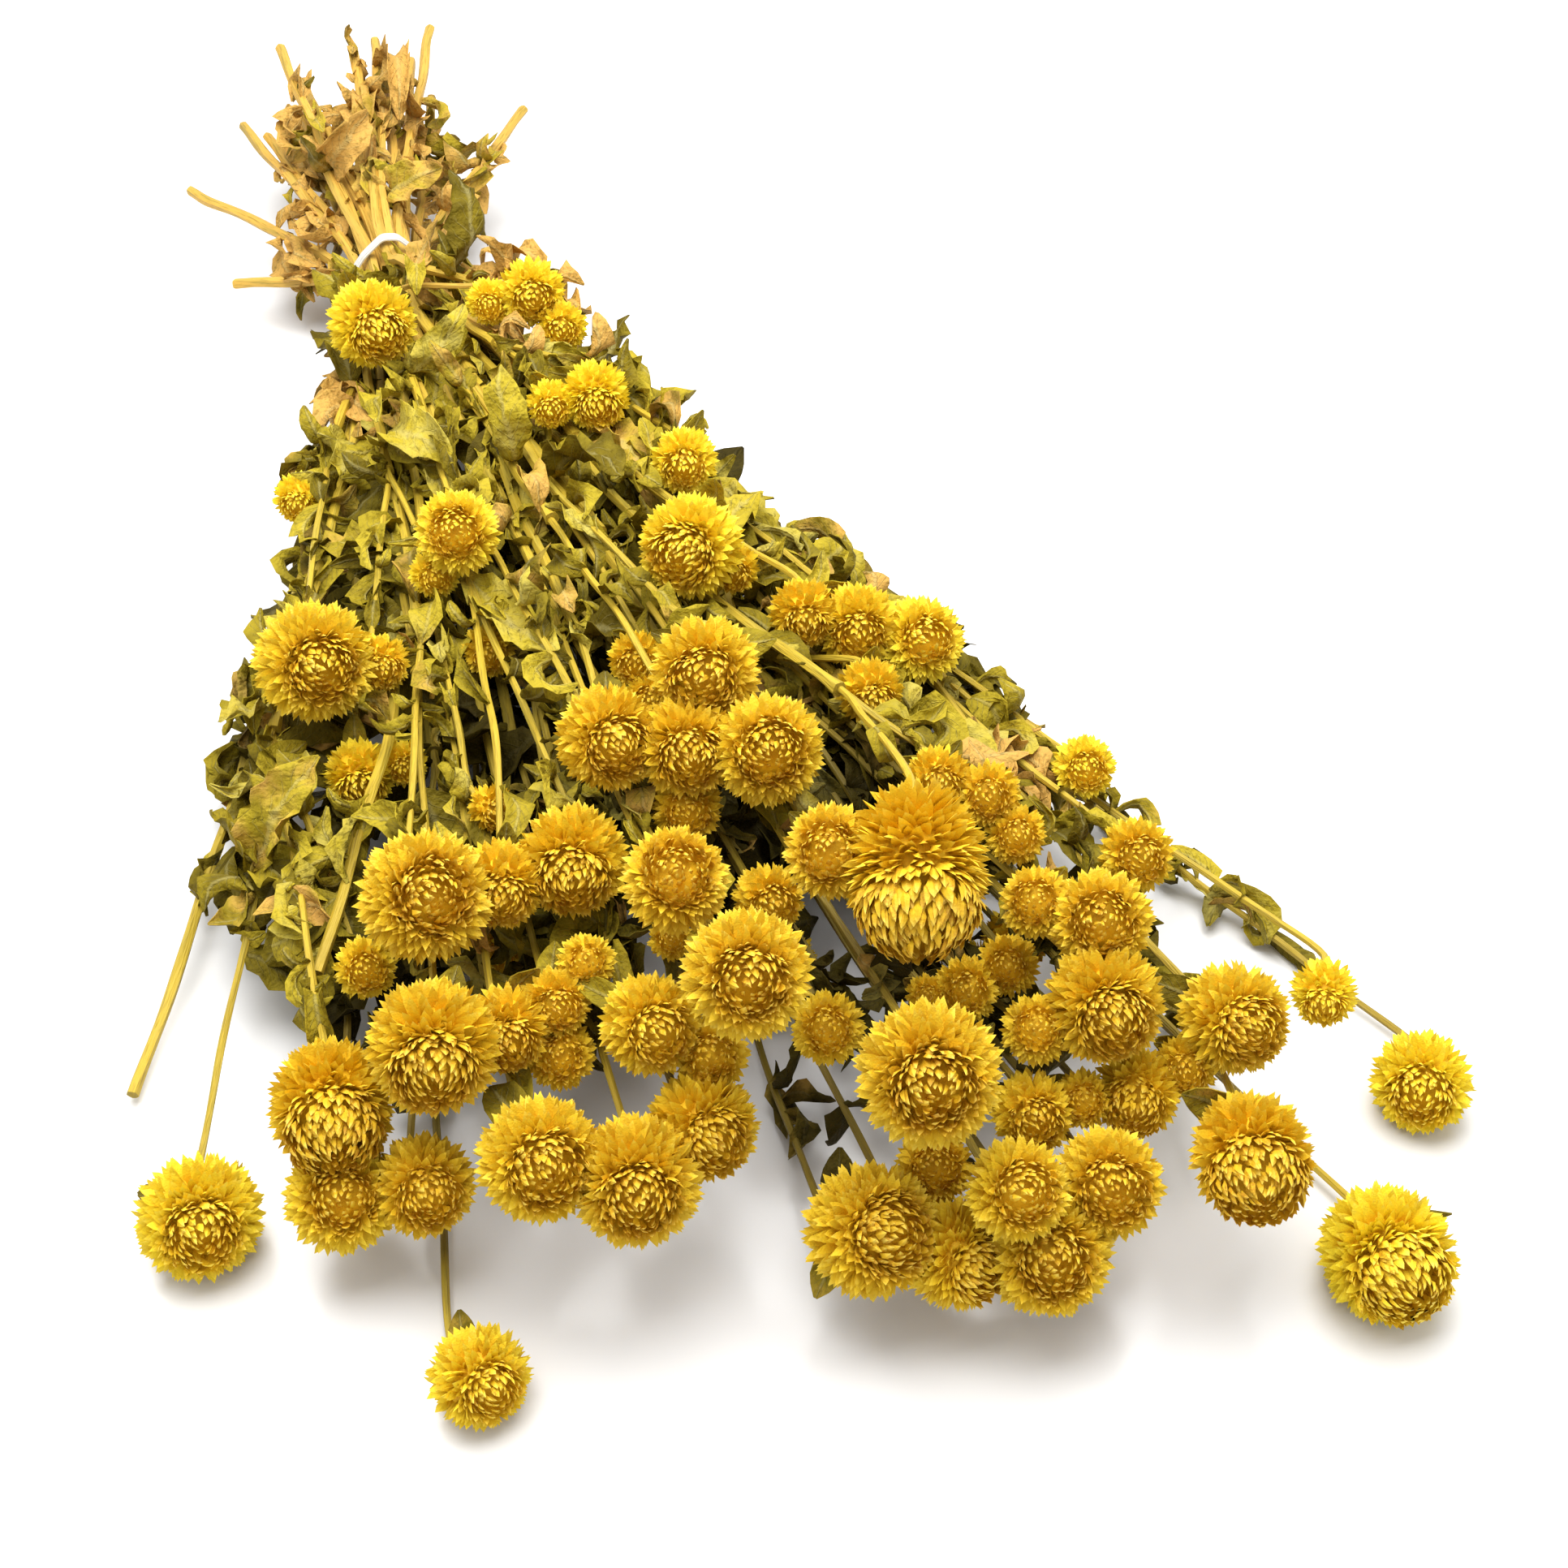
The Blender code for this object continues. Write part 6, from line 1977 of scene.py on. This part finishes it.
def loose_leaves():
    """Small crumpled leaves for the mass of the bunch, as pairs of a spray's number and the leaf."""
    chance = random.Random(17)
    roots, ahead, owner, likely = leafy_spots()
    picks = np.random.default_rng(17).choice(len(roots), DRAWS, p=likely)
    kept, taken = [], set()
    for pick in picks:
        root, stem = roots[pick], ahead[pick]
        outward = outward_from(root, stem, chance.gauss(0.0, 1.1))
        opening = math.radians(chance.uniform(8.0, 75.0))
        way = chance.choice((1.0, 1.0, -1.0))
        heading = way * math.cos(opening) * stem + math.sin(opening) * outward
        side = unit(np.cross(heading, outward))
        length = chance.uniform(*LOOSE_LENGTHS)
        leaf = new_leaf(root, heading, side, length,
                        width=length * chance.uniform(0.28, 0.55),
                        curl=chance.choice((-1.0, -1.0, 1.0)) * chance.uniform(0.8, 5.0),
                        twist=chance.uniform(-3.0, 3.0),
                        wave=chance.uniform(0.3, 1.3),
                        roll=chance.uniform(2.2, 6.0),
                        crease=chance.uniform(0.6, 1.2),
                        tint=chance.random(),
                        old=age(root, 0.7, chance))
        line = spine(leaf, 3)[0]
        x, y = in_picture(line[1] * 0.5 + line[2] * 0.5)
        size = CELL if root[1] < 0.0 else BUTT_CELL
        cell = (size, int(x / size), int(y / size))
        if cell not in taken and not within(SHADOW_SPOTS, x, y) and stands_free(line):
            taken.add(cell)
            kept.append((owner[pick], leaf))
        if len(kept) == LOOSE_LEAVES:
            break
    return kept


loose = loose_leaves()
print(len(loose), "loose leaves")

# %% [markdown]
# Between the stems the picture is nearly black: one looks into shaded leaves inside the bunch, and
# never at the table. So broad leaves lie low between the stems, at most one for each small square of
# the table under the bunch, and painted shade makes them dark.

# %% Inner leaves
INNER_SQUARE = 12.0
INNER_RISE = 9.0
INNER_ROOTS = (4.0, 46.0)
INNER_STRETCH = (-235.0, -12.0)
# The least painted shade of every inner leaf.
INNER_LEAF_SHADE = 0.5


def inner_leaves():
    """Broad leaves low in the bunch, as pairs of a spray's number and the leaf."""
    chance = random.Random(23)
    roots, owner = leafy_spots()[::2]
    picks = [i for i, root in enumerate(roots) if INNER_ROOTS[0] < root[2] < INNER_ROOTS[1]
             and INNER_STRETCH[0] < root[1] < INNER_STRETCH[1]]
    chance.shuffle(picks)
    kept, taken = [], set()
    for pick in picks:
        root = roots[pick]
        length = chance.uniform(18.0, 30.0)
        angle = chance.uniform(0.0, math.tau)
        fall = min(0.9, (root[2] - INNER_RISE * chance.uniform(0.6, 1.8)) / length)
        heading = unit(np.array((math.cos(angle), math.sin(angle), -fall)))
        side = unit(np.cross(heading, np.array((0.0, 0.0, 1.0))))
        leaf = new_leaf(root, heading, side, length,
                        width=length * chance.uniform(0.45, 0.65),
                        curl=chance.uniform(-0.8, 0.8),
                        twist=chance.uniform(-1.0, 1.0),
                        wave=chance.uniform(0.4, 1.2),
                        roll=chance.uniform(0.8, 2.2),
                        crease=chance.uniform(0.8, 1.3),
                        tint=0.5 * chance.random(),
                        old=chance.uniform(-1.5, 0.6),
                        coarse=True,
                        dark=INNER_LEAF_SHADE)
        line, sides = spine(leaf, 3)[:2]
        # In the shadow spots an inner leaf gets the full painted shade.
        if within(SHADOW_SPOTS, *in_picture((line[1] + line[2]) / 2.0)):
            leaf["dark"] = 1.0
        square = tuple(np.floor((line[1] + line[2])[:2] / (2.0 * INNER_SQUARE)).astype(int))
        edge = sides * leaf["width"] / 2.0
        if square not in taken and stands_free(np.vstack((line, line + edge, line - edge))):
            taken.add(square)
            kept.append((owner[pick], leaf))
    return kept


inner = inner_leaves()
print(len(inner), "inner leaves")

# %% [markdown]
# Two small leaves sit below every head. Dried, they are dark, cupped and partly broken off, so
# only some heads show them.

# %% The small leaves below the heads
BROKEN_OFF = 0.35


def collar_leaves():
    """Small leaves under the heads, as pairs of a spray's number and the leaf."""
    chance = random.Random(29)
    found = []
    for number, kind, line in lines:
        if kind not in heads:
            continue
        head = heads[kind]
        axis = head["axis"]
        first = chance.uniform(0.0, math.tau)
        helper = unit(np.cross(axis, np.array((0.3, 0.2, 1.0))))
        for turn in (0.0, math.pi):
            if chance.random() < BROKEN_OFF:
                continue
            angle = first + turn + chance.gauss(0.0, 0.3)
            out = math.cos(angle) * helper + math.sin(angle) * np.cross(axis, helper)
            heading = unit(out - axis * chance.uniform(-0.1, 0.5))
            side = unit(np.cross(heading, axis))
            length = head["width"] * chance.uniform(0.42, 0.72)
            root = head["centre"] - axis * head["length"] * 0.4
            found.append((number, new_leaf(root, heading, side, length,
                                           width=length * chance.uniform(0.4, 0.6),
                                           curl=chance.uniform(-1.6, 1.8),
                                           twist=chance.uniform(-0.8, 0.8),
                                           wave=chance.uniform(0.2, 0.8),
                                           roll=chance.uniform(0.6, 2.4),
                                           crease=chance.uniform(0.2, 0.6),
                                           tint=chance.random() * 0.7,
                                           old=chance.uniform(-0.6, 0.4))))
    return found


collars = collar_leaves()
print(len(collars), "small leaves below the heads")

# %% [markdown]
# All leaves of a spray are one piece. Those of the solids keep their spine and width and only
# gain their roll and creases. The larger a leaf, the finer its grid, and inner leaves get a coarse
# one.

# %% Build the leaves
MIDDLING_LEAF = 16.0
FINE_GRID, MIDDLING_GRID, COARSE_GRID, COLLAR_GRID = (14, 5), (9, 4), (7, 3), (7, 4)
LEAST_ROLL, ROLL_BY_FOLD = 1.5, 3.5
LARGE_CREASE = 2.0
BROWN_AGE = 0.85
RIM_ONLY = math.radians(75.0)


def brown_if_seen(leaf):
    """Make a leaf old where the picture shows brown leaves."""
    if within(BROWN_SPOTS, *in_picture(leaf["root"] + leaf["frame"][0] * leaf["length"] * 0.5)):
        leaf["old"] = max(leaf["old"], BROWN_AGE)


def grid_of(leaf):
    """Rows and columns for the grid of a smaller leaf."""
    fine = leaf["length"] > MIDDLING_LEAF and not leaf.get("coarse")
    return MIDDLING_GRID if fine else COARSE_GRID


def dress_leaves(material):
    """One piece of leaves for each spray."""
    chance = np.random.default_rng(12)
    gathers = [Gather() for name in SPRAYS]
    for number, leaf in leaves:
        leaf["roll"] = LEAST_ROLL + leaf["fold"] * ROLL_BY_FOLD
        leaf["crease"] = LARGE_CREASE
        leaf["tint"] = chance.uniform()
        leaf["old"] = age(leaf["root"], 0.6, chance)
        brown_if_seen(leaf)
        gathers[number].add(*leaf_blade(leaf, *FINE_GRID, chance))
    for number, leaf in loose + inner:
        brown_if_seen(leaf)
        gathers[number].add(*leaf_blade(leaf, *grid_of(leaf), chance))
    for number, leaf in collars:
        gathers[number].add(*leaf_blade(leaf, *COLLAR_GRID, chance))
    total = 0
    for name, gather in zip(SPRAYS, gathers):
        thing = gather.piece("leaves_" + name, material, "dried_green", "stems_" + name, sharp=RIM_ONLY)
        total += len(thing.data.polygons)
    return total


print(len(leaves) + len(loose) + len(inner) + len(collars), "leaves in all")

# %% [markdown]
# ## The finish of the leaves
#
# No two dried leaves have the same colour: dark olive, olive, yellow-green, pale grey-green, and
# orange-brown among the oldest. A ramp of those colours is read at each leaf's own tint, and the
# brown comes in with the leaf's age. The midrib and side veins are paler and stand out a little.
# Painted shade makes what lies deep in the bunch nearly black, though less so where it is brown.

# %% Leaf tissue
LEAF_SHADE = (0.014, 0.009, 0.001)
DARK_OLIVE = (0.115, 0.082, 0.004)
OLIVE = (0.315, 0.236, 0.013)
YELLOW_OLIVE = (0.455, 0.347, 0.023)
PALE_GREEN = (0.480, 0.400, 0.085)
FOX_BROWN = (0.570, 0.330, 0.075)
VEIN = (0.480, 0.420, 0.170)
SIDE_VEINS = 9.0
VEIN_SLANT = 2.2
LEAF_RELIEF = 0.0014


def leaf_tissue():
    """Olive to fox brown, wrinkled, with paler veins, and painted shade that makes it nearly black deep
    in the bunch.
    """
    graph = Graph("leaf_tissue", Roughness=0.7, Specular_IOR_Level=0.12)
    where = graph.node("TexCoord", {}, {}, "Object")
    along, across = stored(graph, "along"), stored(graph, "across")
    tint, old = stored(graph, "tint"), stored(graph, "old")
    clouds = noise(graph, where, 150.0, 4.0)
    grain = noise(graph, where, 1100.0, 3.0)
    wrinkles = noise(graph, where, 330.0, 3.0)
    off = graph.node("Math", {"operation": "ABSOLUTE"}, {0: across})
    stops = [(0.0, DARK_OLIVE), (0.35, OLIVE), (0.7, YELLOW_OLIVE), (1.0, PALE_GREEN)]
    color = graph.node("ValToRGB", {"stops": stops}, {"Fac": tint * 0.9 + (clouds - 0.5) * 0.9})
    brown = rise(graph, old + (clouds - 0.5) * 1.2, 0.25, 0.8)
    color = blend(graph, brown, color, FOX_BROWN)
    color = blend(graph, rise(graph, grain * 0.5 + wrinkles * 0.5, 0.5, 0.68) * 0.6, color, DARK_OLIVE)
    slant = (along * SIDE_VEINS - off * VEIN_SLANT) * math.tau
    stripe = graph.node("Math", {"operation": "SINE"}, {0: slant})
    midrib = rise(graph, 1.0 - off, 0.82, 0.97)
    veins = midrib + rise(graph, stripe, 0.85, 1.0) * 0.5 * rise(graph, 1.0 - off, 0.1, 0.6)
    color = blend(graph, veins * 0.3, color, VEIN)
    # Painted shade: nearly black deep in the bunch, less where the leaf is brown.
    color = blend(graph, stored(graph, "deep") * (0.9 - brown * 0.6), color, LEAF_SHADE)
    graph.feed("Base Color", color)
    bump(graph, grain * 0.25 + veins * 0.2 + wrinkles, LEAF_RELIEF)
    return graph.material


made = dress_leaves(leaf_tissue())
print(made, "triangles of leaves")

# %% [markdown]
# ## The elastic band
#
# A thin white elastic, wound tight, holds the neck. Its outline is that of a rope stretched round
# the packed stalks. The band becomes a soft-edged strap along it, with fine lengthwise ribs where
# its rubber threads lie.

# %% The band as one smooth ring
BAND_RING = 160
BAND_SIDES = 16
BAND_ROUND = 0.45
RIB_HEIGHT = 0.05


def band_shape():
    """A closed ring with a rounded flat section along the band's outline."""
    outer = band_outline(disc, band_room, BAND_RING)
    centre = outer.mean(axis=0)
    corners, across = [], []
    for x, z in outer:
        inward = unit(centre - np.array((x, z)))
        for k in range(BAND_SIDES):
            angle = math.tau * k / BAND_SIDES
            wide = math.copysign(abs(math.cos(angle)) ** BAND_ROUND, math.cos(angle))
            thick = math.copysign(abs(math.sin(angle)) ** BAND_ROUND, math.sin(angle))
            depth = BAND_THICKNESS / 2.0 * (1.0 - thick) + RIB_HEIGHT * (k % 2)
            spot = np.array((x, z)) + inward * depth
            corners.append((spot[0], wide * BAND_WIDTH / 2.0, NECK_HEIGHT + spot[1]))
            across.append(wide)
    quads = tube_quads(BAND_RING, BAND_SIDES, closed=True)
    return np.array(corners), triangles(quads), {"across": np.array(across)}


print("a ring of", BAND_RING, "sections")

# %% White rubber
RUBBER_WHITE = (0.86, 0.85, 0.80)
RUBBER_FURROW_SHADE = (0.62, 0.60, 0.52)
THREADS = 22.0
THREAD_RELIEF = 0.0001


def rubber():
    """White, with painted grey shade in fine furrows between the threads."""
    graph = Graph("rubber", Roughness=0.55, Specular_IOR_Level=0.4)
    across = stored(graph, "across")
    threads = graph.node("Math", {"operation": "SINE"}, {0: across * THREADS})
    # Painted shade in the furrows between the threads.
    furrow_shade = rise(graph, threads, 0.0, 1.0) * 0.6
    graph.feed("Base Color", blend(graph, furrow_shade, RUBBER_WHITE, RUBBER_FURROW_SHADE))
    bump(graph, threads, THREAD_RELIEF)
    return graph.material


band = Gather()
band.add(*band_shape())
ring = band.piece("elastic", rubber(), "elastic", "elastic_band")
print(len(ring.data.polygons), "triangles of elastic")

# %% [markdown]
# ## Table and light
#
# The picture was taken in a bright white tent, on a white, faintly glossy table. Light comes from
# everywhere. One broad lamp hangs close above the tied neck, so the leaves there are bright, the
# near heads are darker on their undersides, and soft shadows fall towards the viewer.

# %% Table
TABLE_SIDE = 6.0
TABLE_WHITE = (0.84, 0.84, 0.84)
TABLE_GREY = (0.80, 0.80, 0.80)
bpy.ops.mesh.primitive_plane_add(size=TABLE_SIDE, location=(0.0, 0.0, 0.0))
table = bpy.context.object
table.name = "table"
surface = Graph("white_table", Roughness=0.2, Specular_IOR_Level=0.5)
place_on_table = surface.node("TexCoord", {}, {}, "Object")
clouds = noise(surface, place_on_table, 3.0)
surface.feed("Base Color", blend(surface, clouds, TABLE_GREY, TABLE_WHITE))
table.data.materials.append(surface.material)
print("table", TABLE_SIDE, "m wide")

# %% Light
TENT_STRENGTH = 0.74
KEY_POWER = 7.4
KEY_SIDE = 0.6
KEY_PLACE = (0.0, 0.02, 0.6)


def soft_box(name, power, side, spot):
    """A square lamp that looks at the middle of the bunch."""
    data = bpy.data.lights.new(name, "AREA")
    data.energy = power
    data.size = side
    lamp = bpy.data.objects.new(name, data)
    bpy.context.scene.collection.objects.link(lamp)
    lamp.location = spot
    lamp.rotation_euler = (-Vector(spot)).to_track_quat("-Z", "Y").to_euler()


world = bpy.data.worlds.new("tent")
world.use_nodes = True
tent = world.node_tree.nodes["Background"]
tent.inputs["Color"].default_value = (1.0, 1.0, 1.0, 1.0)
tent.inputs["Strength"].default_value = TENT_STRENGTH
bpy.context.scene.world = world
soft_box("key", KEY_POWER, KEY_SIDE, KEY_PLACE)
bpy.context.scene.view_settings.view_transform = "Standard"
print("key lamp at", KEY_PLACE, "m")

# %% [markdown]
# ## The end
#
# The box around all solids was noted at the start, and every dressed piece was kept inside it.
